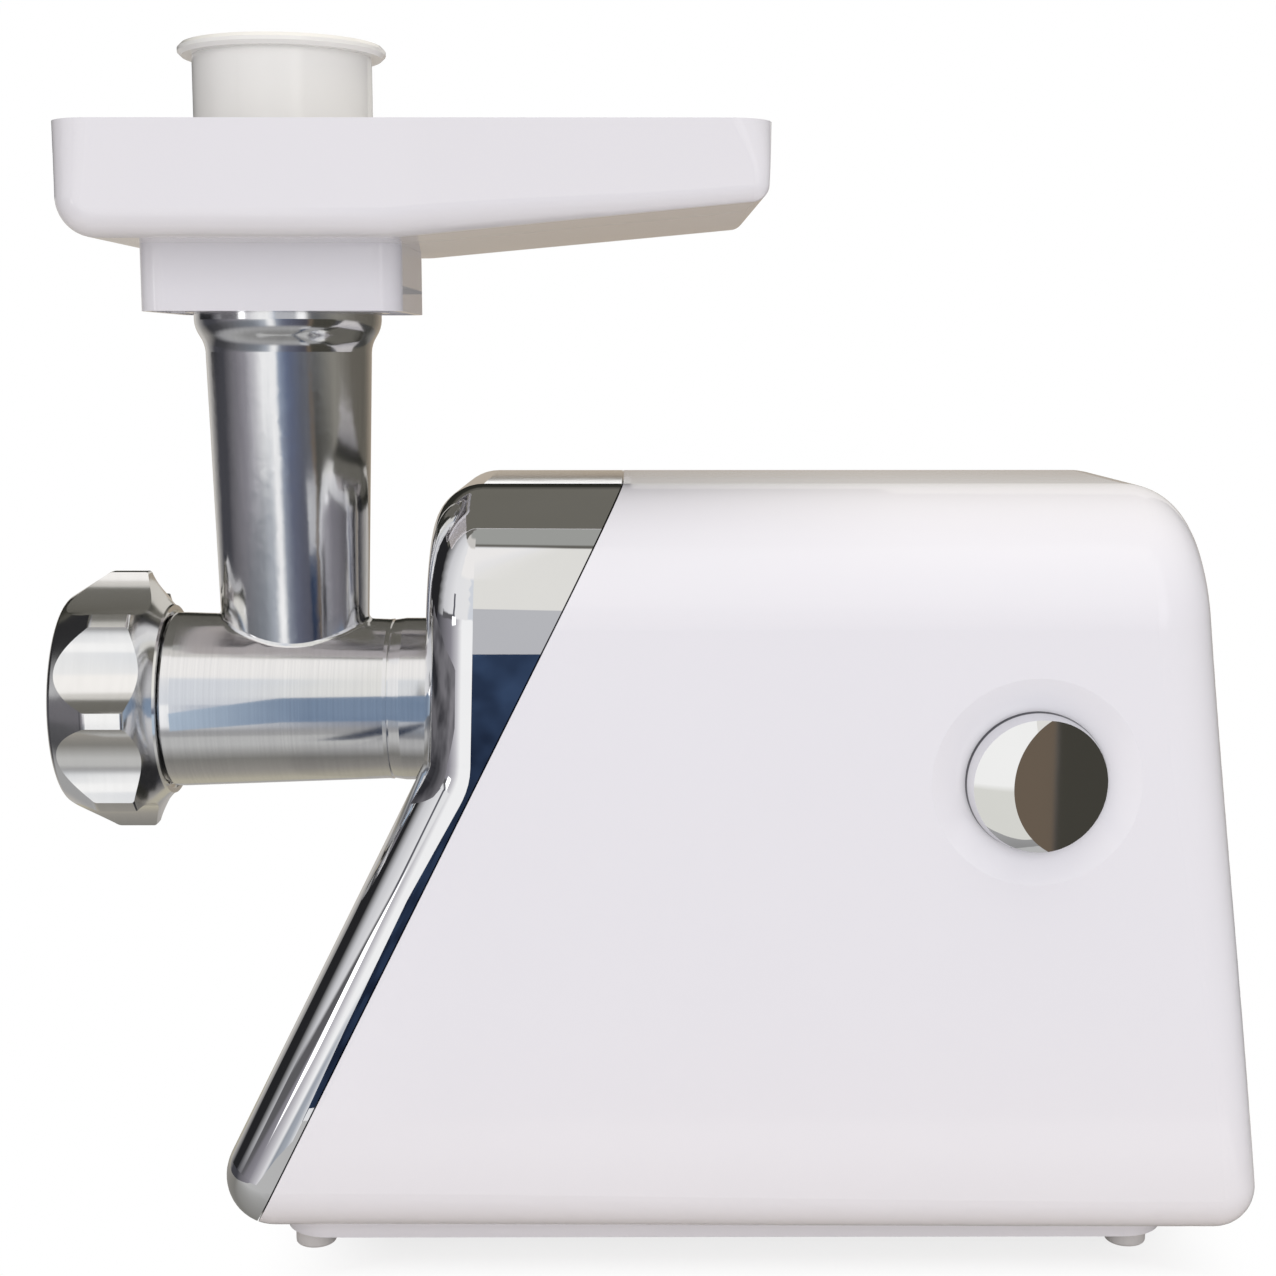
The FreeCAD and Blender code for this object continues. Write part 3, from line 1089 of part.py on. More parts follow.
def motor_end_bracket():
    top_z = MOTOR_Z + BEARING_R + 2 * WALL
    end_x = BRACKET_X + BRACKET_PLATE
    half = TIE_Y + 2 * TIE_SPACER_R
    plate = box(BRACKET_X, end_x, -half, half, BASE_TOP_Z, top_z)
    plate = plate.fuse(box(BRACKET_X, end_x + FRAME_FOOT, -FRAME_HALF_WIDTH, FRAME_HALF_WIDTH,
                           BASE_TOP_Z, BASE_TOP_Z + FRAME_PLATE))
    plate = plate.fuse(rod_x(BRACKET_X, end_x, BRUSH_REACH_R, MOTOR_Z))
    for y in (-TIE_Y, TIE_Y):
        plate = plate.fuse(rod_x(STATOR_END_X, BRACKET_X, TIE_SPACER_R, MOTOR_Z, y))
        plate = plate.cut(rod_x(STATOR_END_X - 1, end_x + 1, TIE_R + RUN_GAP, MOTOR_Z, y))
    for side in (-1, 1):
        plate = plate.cut(rod_z(0, BASE_TOP_Z + FRAME_PLATE + 1, SCREW_R + RUN_GAP, BRACKET_SCREW_X,
                                side * FRAME_SCREW_Y))
    return plate.cut(rod_x(BRACKET_X - 1, end_x + 1, BEARING_R + SEAT_GAP, MOTOR_Z)).removeSplitter()


BRUSH_REACH_R = COMMUTATOR_R + 2 + BRUSH_HOLDER_LENGTH


def motor_tie_bolts():
    length = BRACKET_X + BRACKET_PLATE - FRAME_REAR_X
    return [screw(BRACKET_X + BRACKET_PLATE, y, MOTOR_Z, V(-1, 0, 0), TIE_R, 2 * TIE_R, SCREW_HEAD,
                  length)
            for y in (-TIE_Y, TIE_Y)]


BRUSH_X = COMMUTATOR_X + COMMUTATOR_LENGTH / 2


def brush_block(half, bottom, top, side):
    low, high = sorted((side * bottom, side * top))
    return box(BRUSH_X - half, BRUSH_X + half, -half, half, MOTOR_Z + low, MOTOR_Z + high)


def carbon_brushes():
    bottom = COMMUTATOR_R + SLIDE_GAP
    return [brush_block(BRUSH_SIDE / 2, bottom, bottom + BRUSH_LENGTH, side) for side in (-1, 1)]


def brush_holders():
    outer = BRUSH_SIDE / 2 + BRUSH_HOLDER_WALL
    solids = []
    for side in (-1, 1):
        holder = brush_block(outer, COMMUTATOR_R + 2, BRUSH_REACH_R, side)
        low, high = sorted((side * (COMMUTATOR_R + 4), side * BRUSH_REACH_R))
        holder = holder.fuse(box(BRUSH_X, BRACKET_X, -outer, outer, MOTOR_Z + low, MOTOR_Z + high))
        sleeve = brush_block(BRUSH_SIDE / 2 + SEAT_GAP, COMMUTATOR_R, COMMUTATOR_R + BRUSH_LENGTH + 2,
                             side)
        solids.append(holder.cut(sleeve).removeSplitter())
    return solids


def tray_outline(inset):
    lean = TRAY_DRAFT
    above = inset * 4
    draft = lean / TRAY_RIM
    points = [(TRAY_LEFT_X + lean, TUBE_TOP_Z, TRAY_LEFT_FLOOR_R), (TRAY_KINK_X, TUBE_TOP_Z, 30.0),
              (TRAY_RIGHT_X - lean, TUBE_TOP_Z + TRAY_RISE, TRAY_RIGHT_FLOOR_R),
              (TRAY_RIGHT_X + above * draft, TRAY_RIM_Z + above, 0.0),
              (TRAY_LEFT_X - above * draft, TRAY_RIM_Z + above, 0.0)]
    return inset_outline(points, inset)


def tray_edge_r(point):
    if point.z > TUBE_TOP_Z + TRAY_RISE + TRAY_LEFT_FLOOR_R:
        return TRAY_CORNER_R
    if point.x < TRAY_LEFT_X + TRAY_CORNER_R / 2:
        return TRAY_LEFT_EDGE_R
    return TRAY_LOW_EDGE_R if point.x < TRAY_RIGHT_X - 2 * TRAY_RISE else TRAY_RIGHT_EDGE_R


# A tray blank: the side outline across the width, rounded along both long sides and up its corners
def tray_solid(inset):
    half = TRAY_HALF_WIDTH - inset
    blank = rounded_face(tray_outline(inset), lambda x, z: V(x, -half, z)).extrude(V(0, 2 * half, 0))
    radii = []
    for number, edge in enumerate(blank.Edges, start=1):
        owners = [abs(face.normalAt(0, 0).y) > 0.99 for face in blank.ancestorsOfType(edge, Part.Face)]
        at_rim = all(end.Z > TRAY_RIM_Z - inset - WALL for end in edge.Vertexes)
        if sorted(owners) == [False, True] and not at_rim:
            ends = [tray_edge_r(end.Point) - inset for end in edge.Vertexes]
            radii.append((number, ends[0], ends[-1]))
    return filleted(blank, radii)


def tray():
    basin = tray_solid(0).cut(tray_solid(WALL))
    top_z = TUBE_TOP_Z + WALL / 2
    low_z = TUBE_TOP_Z - BOX_DEPTH
    sleeve_r = TUBE_COLLAR_R + SLIDE_GAP
    socket = rounded_box(-BOX_HALF_LENGTH, BOX_HALF_LENGTH, BOX_HALF_WIDTH, low_z, top_z, BOX_CORNER_R)
    socket = socket.cut(rounded_box(-BOX_HALF_LENGTH + WALL, BOX_HALF_LENGTH - WALL,
                                    BOX_HALF_WIDTH - WALL,
                                    low_z - 1, TUBE_TOP_Z, BOX_CORNER_R - WALL))
    ribs = box(-BOX_HALF_LENGTH + 1, BOX_HALF_LENGTH - 1, -BOX_RIB / 2, BOX_RIB / 2, low_z, TUBE_TOP_Z)
    ribs = ribs.fuse(box(-BOX_RIB / 2, BOX_RIB / 2, -BOX_HALF_WIDTH + 1, BOX_HALF_WIDTH - 1, low_z,
                         TUBE_TOP_Z))
    sleeve = rod_z(low_z, top_z, sleeve_r + WALL)
    socket = socket.fuse(ribs).fuse(sleeve).cut(rod_z(low_z - 1, TUBE_TOP_Z, sleeve_r))
    basin = basin.fuse(socket)
    return basin.cut(rod_z(low_z - 1, TRAY_FLOOR_Z + 1, TRAY_HOLE_R)).removeSplitter()


def pusher():
    flange_z = PUSHER_TOP_Z - PUSHER_FLANGE
    edge = 1.2
    shell = [(TRAY_FLOOR_Z, 0.0), (TRAY_FLOOR_Z, PUSHER_R - edge), (TRAY_FLOOR_Z + edge, PUSHER_R),
             (flange_z, PUSHER_R),
             (flange_z, PUSHER_FLANGE_R - edge), (flange_z + edge, PUSHER_FLANGE_R),
             (PUSHER_TOP_Z - edge, PUSHER_FLANGE_R),
             (PUSHER_TOP_Z, PUSHER_FLANGE_R - edge), (PUSHER_TOP_Z, 0.0)]
    plunger = plunger_taper(PUSHER_TIP_Z, PUSHER_PLAY)
    plunger = plunger.fuse(rod_z(TUBE_NECK_Z, TRAY_FLOOR_Z + PUSHER_WALL, PUSHER_PLUNGER_R))
    body = spin_z(shell).fuse(plunger)
    body = body.cut(rod_z(TRAY_FLOOR_Z + PUSHER_WALL, PUSHER_TOP_Z + 1, PUSHER_R - PUSHER_WALL))
    body = body.cut(rod_z(TUBE_NECK_Z, PUSHER_TOP_Z, PUSHER_PLUNGER_R - PUSHER_WALL))
    body = body.cut(plunger_taper(PUSHER_TIP_Z + PUSHER_WALL, PUSHER_PLAY + PUSHER_WALL))
    return body.removeSplitter()


# The plunger's tapered length, smaller than the feed bore all round by a gap
def plunger_taper(tip_z, gap):
    part_way = (tip_z - BARREL_Z) / (TUBE_NECK_Z - BARREL_Z)
    tip_length = BORE_FOOT_HALF_LENGTH + (TUBE_BORE_R - BORE_FOOT_HALF_LENGTH) * part_way - gap
    tip_width = BORE_FOOT_HALF_WIDTH + (TUBE_BORE_R - BORE_FOOT_HALF_WIDTH) * part_way - gap
    neck = TUBE_BORE_R - gap
    return oval_taper((tip_z, tip_length, tip_width), (TUBE_NECK_Z, neck, neck))


# The frame's origin is under the middle of the whole part's box, on the table
BODY_END_X = body_solid(0).BoundBox.XMax
FRAME_SHIFT = V(-(NUT_FRONT_X + BODY_END_X) / 2, KNOB_PROUD / 2, 0)

PIECES = [
    housing, front_fascia, base_plate, rubber_feet, base_screws, frame_screws, cord_gland,
    head_socket, socket_screws, gearbox_front, gearbox_rear, gearbox_screws, output_bushes,
    layshaft_bushes, motor_bearings, motor_stator, field_windings, motor_end_bracket, motor_tie_bolts,
    brush_holders, carbon_brushes, rotary_switch, switch_knob, knob_spindle, motor_shaft, motor_pinion,
    armature_core, armature_windings, commutator, cooling_fan, layshaft, layshaft_pinion, first_gear,
    output_shaft, output_gear, auger, thrust_washer, knife, grinder_head, plate_key, cutting_plate,
    ring_nut, tray, pusher,
]


def main():
    os.makedirs("parts", exist_ok=True)
    for piece in PIECES:
        made = piece()
        shape = Part.makeCompound(made) if isinstance(made, list) else made
        shape.translate(FRAME_SHIFT)
        shape.exportStep("parts/" + piece.__name__ + ".step")


if __name__ == "__main__":
    main()
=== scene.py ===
import math

import bmesh
import bpy
from mathutils import Matrix, Vector


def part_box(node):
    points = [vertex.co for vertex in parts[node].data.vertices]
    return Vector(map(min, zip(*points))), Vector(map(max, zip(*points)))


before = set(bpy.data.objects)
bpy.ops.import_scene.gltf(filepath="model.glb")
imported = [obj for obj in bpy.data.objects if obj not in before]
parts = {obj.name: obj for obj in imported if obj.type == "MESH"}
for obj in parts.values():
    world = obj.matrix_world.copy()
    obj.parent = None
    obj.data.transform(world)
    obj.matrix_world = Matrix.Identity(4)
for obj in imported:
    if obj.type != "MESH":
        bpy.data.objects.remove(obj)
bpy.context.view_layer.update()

# Camera.
# It stands a little above the barrel, in front of the knob side, and looks slightly down.
# Its place is taken from the axis of the feed tube, which the pusher stands in.
tube_x = (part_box("pusher")[0][0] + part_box("pusher")[1][0]) / 2
tube_y = (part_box("pusher")[0][1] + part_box("pusher")[1][1]) / 2
FILM_WIDTH = 36.0
FOCAL_POINTS = 2000.0
PICTURE_POINTS = 1276.0
CAMERA_ASIDE, CAMERA_AWAY, CAMERA_UP = 0.10982, 0.650, 0.278
LOOK_DOWN, LOOK_ASIDE = 8.05, 0.2
camera = bpy.data.objects.new("camera", bpy.data.cameras.new("camera"))
camera.data.sensor_width = FILM_WIDTH
camera.data.lens = FILM_WIDTH * FOCAL_POINTS / PICTURE_POINTS
camera.data.clip_start = 0.01
camera.location = (tube_x + CAMERA_ASIDE, tube_y - CAMERA_AWAY, CAMERA_UP)
camera.rotation_euler = (math.radians(90 - LOOK_DOWN), 0, math.radians(-LOOK_ASIDE))
bpy.context.collection.objects.link(camera)
bpy.context.scene.camera = camera
bpy.context.scene.view_settings.view_transform = "Standard"

# Studio room.
# A white surround to the camera, soft light from all sides, and for polished metal a room to mirror:
# grey walls with bright panels in front, dark behind and above. Two soft lamps add shape.
world = bpy.data.worlds.new("studio")
bpy.context.scene.world = world
world.use_nodes = True
air = world.node_tree
air.nodes.clear()


def air_math(operation, first, second=None, third=None):
    node = air.nodes.new("ShaderNodeMath")
    node.operation = operation
    for slot, value in enumerate((first, second, third)):
        if value is None:
            continue
        if isinstance(value, (int, float)):
            node.inputs[slot].default_value = value
        else:
            air.links.new(value, node.inputs[slot])
    return node.outputs[0]


def air_band(value, low, high, soft):
    masks = []
    for edge, rising in ((low, True), (high, False)):
        node = air.nodes.new("ShaderNodeMapRange")
        node.interpolation_type = "SMOOTHSTEP"
        air.links.new(value, node.inputs["Value"])
        node.inputs["From Min"].default_value = edge - soft
        node.inputs["From Max"].default_value = edge + soft
        node.inputs["To Min"].default_value = 0.0 if rising else 1.0
        node.inputs["To Max"].default_value = 1.0 if rising else 0.0
        masks.append(node.outputs["Result"])
    return air_math("MULTIPLY", masks[0], masks[1])


def air_mix(mask, below, above):
    node = air.nodes.new("ShaderNodeMix")
    node.data_type = "RGBA"
    air.links.new(mask, node.inputs["Factor"])
    for name, value in (("A", below), ("B", above)):
        sockets = [s for s in node.inputs if s.name == name and s.type == "RGBA"]
        if isinstance(value, tuple):
            sockets[0].default_value = value + (1.0,)
        else:
            air.links.new(value, sockets[0])
    return [s for s in node.outputs if s.type == "RGBA"][0]


def air_ramp(value, low, high, stops):
    node = air.nodes.new("ShaderNodeValToRGB")
    share = air_math("MULTIPLY_ADD", value, 1 / (high - low), -low / (high - low))
    air.links.new(share, node.inputs["Fac"])
    ramp = node.color_ramp
    while len(ramp.elements) < len(stops):
        ramp.elements.new(1.0)
    for stop, (place, tone) in zip(ramp.elements, stops):
        stop.position = (place - low) / (high - low)
        stop.color = tone + (1.0,)
    return node.outputs["Color"]


direction = air.nodes.new("ShaderNodeTexCoord")
axes = air.nodes.new("ShaderNodeSeparateXYZ")
air.links.new(direction.outputs["Generated"], axes.inputs[0])
IN_DEGREES = 180 / math.pi
elevation = air_math("MULTIPLY", air_math("ARCSINE", axes.outputs["Z"]), IN_DEGREES)
towards_camera = air_math("MULTIPLY", axes.outputs["Y"], -1.0)
azimuth = air_math("MULTIPLY", air_math("ARCTAN2", axes.outputs["X"], towards_camera), IN_DEGREES)

# Walls by azimuth in degrees, from behind (-180) past the camera (0): below eye level, at it and above it.
# The ceiling and the ground go by elevation.
wall_low = air_ramp(azimuth, -180, 180, [
    (-180, (0.45, 0.43, 0.41)), (-142, (0.48, 0.46, 0.43)), (-113, (0.04, 0.04, 0.045)),
    (-90, (0.06, 0.06, 0.065)), (-70, (0.13, 0.13, 0.14)), (-35, (0.21, 0.23, 0.26)),
    (-21, (0.42, 0.45, 0.50)), (-15, (1.0, 1.0, 1.0)), (-10.5, (1.0, 1.0, 1.0)),
    (-6, (0.28, 0.31, 0.37)), (4, (0.13, 0.14, 0.19)), (30, (0.07, 0.07, 0.09)),
    (50, (0.11, 0.11, 0.12)), (75, (0.05, 0.05, 0.06)), (140, (0.06, 0.06, 0.055)),
    (180, (0.45, 0.43, 0.41))])
wall_eye = air_ramp(azimuth, -180, 180, [
    (-180, (0.43, 0.365, 0.29)), (-148, (0.62, 0.60, 0.57)), (-116, (0.06, 0.06, 0.07)),
    (-94, (0.06, 0.06, 0.07)), (-80, (0.15, 0.145, 0.16)), (-56, (0.28, 0.27, 0.30)),
    (-40, (0.60, 0.59, 0.62)), (-29, (1.0, 1.0, 1.0)), (-10.5, (1.0, 1.0, 1.0)),
    (-7, (0.28, 0.34, 0.45)), (5, (0.12, 0.15, 0.24)), (23, (0.11, 0.12, 0.15)),
    (50, (0.16, 0.16, 0.155)), (70, (0.26, 0.25, 0.22)), (104, (0.14, 0.13, 0.11)),
    (138, (0.13, 0.12, 0.10)), (180, (0.43, 0.365, 0.29))])
wall_high = air_ramp(azimuth, -110, 50, [
    (-110, (0.02, 0.02, 0.02)), (-97, (0.03, 0.03, 0.03)), (-76, (0.66, 0.66, 0.68)),
    (-50, (0.86, 0.86, 0.87)), (-16, (0.88, 0.88, 0.88)), (-13, (0.72, 0.75, 0.80)),
    (-7.2, (0.72, 0.75, 0.80)), (-5.6, (0.84, 0.83, 0.79)), (30, (0.80, 0.79, 0.75)),
    (38, (0.25, 0.24, 0.22))])
overhead = air_ramp(elevation, 0, 90, [
    (0, (0.02, 0.02, 0.018)), (22, (0.028, 0.028, 0.022)), (27, (0.11, 0.105, 0.09)),
    (90, (0.16, 0.155, 0.14))])
underfoot = air_ramp(elevation, -90, -30, [
    (-90, (0.19, 0.185, 0.175)), (-68, (0.20, 0.195, 0.185)), (-54, (0.24, 0.24, 0.235)),
    (-40, (0.38, 0.38, 0.38)), (-30, (0.32, 0.32, 0.33))])
BEYOND = 120
LOW_WALL_TOP = -12.4
CEILING_EDGE = 3.45
GROUND_EDGE = -30
FRONT_WALL_SIDES = (-100, 36)
FRONT_WALL_HEIGHTS = (1.5, 66)
mirrored = air_mix(air_band(elevation, LOW_WALL_TOP, BEYOND, 1.4), wall_low, wall_eye)
mirrored = air_mix(air_band(elevation, CEILING_EDGE, BEYOND, 0.15), mirrored, overhead)
mirrored = air_mix(air_band(elevation, -BEYOND, GROUND_EDGE, 5.0), mirrored, underfoot)
front_wall = air_math(
    "MULTIPLY", air_band(azimuth, *FRONT_WALL_SIDES, 1.5), air_band(elevation, *FRONT_WALL_HEIGHTS, 0.8))
mirrored = air_mix(front_wall, mirrored, wall_high)

# Each panel is (first azimuth, last azimuth, lowest, highest, softness, colour) in degrees.
panels = [
    (-127, -97, -2.5, 36, 1.2, (0.02, 0.02, 0.022)),
    (-80, -47, 0.2, 4.2, 0.8, (0.12, 0.118, 0.125)),
    (-6.0, 30, -2.0, 10.5, 0.5, (0.52, 0.525, 0.55)),
    (-42, -6.0, 36, 66, 2.0, (0.96, 0.94, 0.92)),
    (-60, 40, 69, 88, 1.0, (0.37, 0.375, 0.355)),
    (-60, -18, 64, 73, 1.5, (0.66, 0.64, 0.61)),
    (-190, -175.5, 3.53, 3.76, 0.04, (1.15, 1.14, 1.12)),
    (150, 190, 3.45, 42, 0.3, (0.60, 0.58, 0.54)),
    (34, 39.85, -34, -9.5, 0.12, (0.155, 0.12, 0.088)),
    (39.85, 70, -34, -9.5, 0.12, (0.058, 0.055, 0.045)),
    (-51.5, -47.5, 2.8, 20, 0.5, (0.12, 0.12, 0.14)),
    (-53, -45, -3.2, 2.6, 0.6, (2.4, 2.4, 2.4)),
    (19, 31, -3.2, 16, 2.5, (1.1, 1.1, 1.1)),
]
for first, last, lowest, highest, soft, tone in panels:
    sides = air_band(azimuth, first, last, soft)
    heights = air_band(elevation, lowest, highest, soft)
    mirrored = air_mix(air_math("MULTIPLY", sides, heights), mirrored, tone)

# Light that falls on the machine from all round, warmer from below.
ambient = air_ramp(elevation, -90, 90, [
    (-90, (0.80, 0.68, 0.52)), (-46, (0.72, 0.63, 0.51)), (-28, (0.49, 0.485, 0.505)),
    (0, (0.57, 0.565, 0.585)), (90, (0.73, 0.70, 0.64))])
ray = air.nodes.new("ShaderNodeLightPath")
lit = air_mix(ray.outputs["Is Glossy Ray"], ambient, mirrored)
clear = air_math("MAXIMUM", ray.outputs["Is Camera Ray"], ray.outputs["Is Transmission Ray"])
lit = air_mix(clear, lit, (1.0, 1.0, 1.0))
sky = air.nodes.new("ShaderNodeBackground")
air.links.new(lit, sky.inputs["Color"])
air.links.new(sky.outputs[0], air.nodes.new("ShaderNodeOutputWorld").inputs[0])

LAMP_AIM = Vector((0, 0, 0.18))
for lamp_name, place, size, power, tint in (
        ("lamp_bank", (0.12, -1.5, 0.30), 1.5, 12.0, (1.0, 0.99, 1.0)),
        ("top_lamp", (0.15, 0.0, 1.5), 1.2, 8.2, (1.0, 0.945, 0.83))):
    lamp = bpy.data.objects.new(lamp_name, bpy.data.lights.new(lamp_name, "AREA"))
    lamp.data.size = size
    lamp.data.energy = power
    lamp.data.color = tint
    lamp.visible_glossy = False
    lamp.location = place
    lamp.rotation_euler = (LAMP_AIM - Vector(place)).to_track_quat("-Z", "Y").to_euler()
    bpy.context.collection.objects.link(lamp)

# Cards near the metal, which only mirror rays meet.
# Blue ones, with a grey one above, throw bands on the barrel and the plated front. A dark one fills the
# front's corner, a pale one the knob, and an olive one under the tray is painted shade: it stands in for
# the shaded underside of the tray and dims the top of the front.
FOLD_RANGE = (0.36, 0.64)


# Corners are millimetres from the tube's axis and up from the table. The two tones run along one axis,
# mixed with soft folds. Rays longer than the reach, and rays from the outer side, pass through the card.
def stage_card(name, corners, axis, tones, fold_size, fold_share, reach=1.0):
    mesh = bpy.data.meshes.new(name)
    shape = bmesh.new()
    for across, deep, up in corners:
        shape.verts.new((tube_x + across / 1000, tube_y + deep / 1000, up / 1000))
    shape.faces.new(shape.verts)
    shape.to_mesh(mesh)
    shape.free()
    card = bpy.data.objects.new(name, mesh)
    bpy.context.collection.objects.link(card)
    card.visible_camera = False
    card.visible_diffuse = False
    card.visible_shadow = False
    dye = bpy.data.materials.new(name)
    dye.use_nodes = True
    weave = dye.node_tree
    weave.nodes.clear()
    place = weave.nodes.new("ShaderNodeTexCoord").outputs["Object"]
    folds = weave.nodes.new("ShaderNodeTexNoise")
    folds.inputs["Scale"].default_value = 1 / fold_size
    folds.inputs["Detail"].default_value = 2.0
    weave.links.new(place, folds.inputs["Vector"])
    split = weave.nodes.new("ShaderNodeSeparateXYZ")
    weave.links.new(place, split.inputs[0])
    blend = weave.nodes.new("ShaderNodeMapRange")
    blend.inputs["From Min"].default_value = axis[1]
    blend.inputs["From Max"].default_value = axis[2]
    weave.links.new(split.outputs[axis[0]], blend.inputs["Value"])
    crease = weave.nodes.new("ShaderNodeMapRange")
    crease.inputs["From Min"].default_value = FOLD_RANGE[0]
    crease.inputs["From Max"].default_value = FOLD_RANGE[1]
    weave.links.new(folds.outputs["Fac"], crease.inputs["Value"])
    share = weave.nodes.new("ShaderNodeMix")
    share.inputs["Factor"].default_value = fold_share
    weave.links.new(blend.outputs["Result"], share.inputs["A"])
    weave.links.new(crease.outputs["Result"], share.inputs["B"])
    ramp = weave.nodes.new("ShaderNodeValToRGB")
    ramp.color_ramp.elements[0].color = tones[0] + (1.0,)
    ramp.color_ramp.elements[1].color = tones[1] + (1.0,)
    weave.links.new(share.outputs[0], ramp.inputs["Fac"])
    glow = weave.nodes.new("ShaderNodeEmission")
    weave.links.new(ramp.outputs["Color"], glow.inputs["Color"])
    near = weave.nodes.new("ShaderNodeMath")
    near.operation = "LESS_THAN"
    near.inputs[1].default_value = reach
    weave.links.new(weave.nodes.new("ShaderNodeLightPath").outputs["Ray Length"], near.inputs[0])
    met = weave.nodes.new("ShaderNodeMath")
    met.operation = "MULTIPLY"
    weave.links.new(near.outputs[0], met.inputs[0])
    weave.links.new(weave.nodes.new("ShaderNodeNewGeometry").outputs["Backfacing"], met.inputs[1])
    inner_side = weave.nodes.new("ShaderNodeMixShader")
    weave.links.new(met.outputs[0], inner_side.inputs["Fac"])
    weave.links.new(weave.nodes.new("ShaderNodeBsdfTransparent").outputs[0], inner_side.inputs[1])
    weave.links.new(glow.outputs[0], inner_side.inputs[2])
    weave.links.new(inner_side.outputs[0], weave.nodes.new("ShaderNodeOutputMaterial").inputs["Surface"])
    mesh.materials.append(dye)


stage_card("barrel_card", [
    (-40, -45, 149), (-3, -45, 155.5), (45, -45, 155), (45, -45, 176), (-3, -45, 174), (-40, -45, 163)],
    ("X", tube_x - 0.040, tube_x + 0.006), ((0.46, 0.55, 0.66), (0.17, 0.235, 0.34)), 0.03, 0.12)
stage_card("front_card", [
    (55.4, -125, 184.7), (55.4, -125, 147.8), (27, -125, 109.8), (8, -125, 66.4), (-4, -125, 34),
    (9, -125, 36), (24, -125, 66.4), (45.7, -125, 109.8), (64.6, -125, 147.8), (83.1, -125, 184.7)],
    ("Z", 0.150, 0.188), ((0.012, 0.019, 0.040), (0.045, 0.078, 0.155)), 0.014, 0.5)
stage_card("corner_card", [
    (38, -64, 147), (38, -80, 152), (38, -97, 165), (38, -97, 183), (38, -80, 191), (38, -64, 206)],
    ("Y", tube_y - 0.097, tube_y - 0.070), ((0.28, 0.27, 0.29), (0.03, 0.03, 0.035)), 0.012, 0.5)
stage_card("front_grey_card", [
    (55.4, -125, 184.7), (83.1, -125, 184.7), (92, -125, 213), (55.4, -125, 213)],
    ("Z", 0.18, 0.22), ((0.53, 0.535, 0.56), (0.54, 0.545, 0.565)), 0.03, 0.1)
KNOB_CARD_REACH = 0.0245
stage_card("knob_card", [(195, -100, 112), (230, -100, 112), (230, -100, 188), (195, -100, 188)],
           ("Z", 0.1485, 0.1515), ((0.76, 0.76, 0.71), (1.0, 1.0, 0.98)), 0.05, 0.04, KNOB_CARD_REACH)
# Painted shade: the olive card stands in for the tray's shaded underside as the plated front mirrors it.
stage_card("tray_shade_card", [(32, -68, 299), (200, -68, 299), (200, 58, 299), (32, 58, 299)],
           ("X", tube_x, tube_x + 0.2), ((0.155, 0.148, 0.125), (0.165, 0.158, 0.138)), 0.05, 0.2)

# Floor.
# A pale sheet under the footprint keeps the contact shadow and fades into the white surround.
# What metal sees of it is a glowing grey table top with painted shade, darker under the machine.
FLOOR_LENGTH, FLOOR_WIDTH = 0.56, 0.40
SHADOW_MIDDLE = 0.035
SHADOW_HALF_LENGTH, SHADOW_HALF_WIDTH = 0.155, 0.078
FADE_START, FADE_END = 0.70, 1.02
WHITE_SHARE = 0.78
TABLE_SHADE_NEAR, TABLE_SHADE_FAR = -0.13, 0.10
floor_mesh = bpy.data.meshes.new("floor")
sheet = bmesh.new()
bmesh.ops.create_grid(
    sheet, x_segments=1, y_segments=1, size=0.5, matrix=Matrix.Diagonal((FLOOR_LENGTH, FLOOR_WIDTH, 1, 1)))
sheet.to_mesh(floor_mesh)
sheet.free()
floor = bpy.data.objects.new("floor", floor_mesh)
bpy.context.collection.objects.link(floor)
paper = bpy.data.materials.new("floor_paper")
paper.use_nodes = True
web = paper.node_tree
web.nodes.clear()
pale = web.nodes.new("ShaderNodeBsdfDiffuse")
pale.inputs["Color"].default_value = (0.90, 0.895, 0.89, 1.0)
table = web.nodes.new("ShaderNodeBsdfDiffuse")
table.inputs["Color"].default_value = (0.66, 0.60, 0.54, 1.0)
seen_table = web.nodes.new("ShaderNodeEmission")
white = web.nodes.new("ShaderNodeEmission")
spot = web.nodes.new("ShaderNodeTexCoord")
reach = web.nodes.new("ShaderNodeSeparateXYZ")
web.links.new(spot.outputs["Object"], reach.inputs[0])


def web_math(operation, first, second):
    node = web.nodes.new("ShaderNodeMath")
    node.operation = operation
    for slot, value in enumerate((first, second)):
        if isinstance(value, float):
            node.inputs[slot].default_value = value
        else:
            web.links.new(value, node.inputs[slot])
    return node.outputs[0]


off_middle = web_math("ABSOLUTE", web_math("SUBTRACT", reach.outputs["X"], SHADOW_MIDDLE), 0.0)
along = web_math("MULTIPLY", off_middle, 1 / SHADOW_HALF_LENGTH)
across = web_math("MULTIPLY", web_math("ABSOLUTE", reach.outputs["Y"], 0.0), 1 / SHADOW_HALF_WIDTH)
fade = web.nodes.new("ShaderNodeMapRange")
fade.interpolation_type = "SMOOTHSTEP"
fade.inputs["From Min"].default_value = FADE_START
fade.inputs["From Max"].default_value = FADE_END
fade.inputs["To Min"].default_value = WHITE_SHARE
web.links.new(web_math("MAXIMUM", along, across), fade.inputs["Value"])
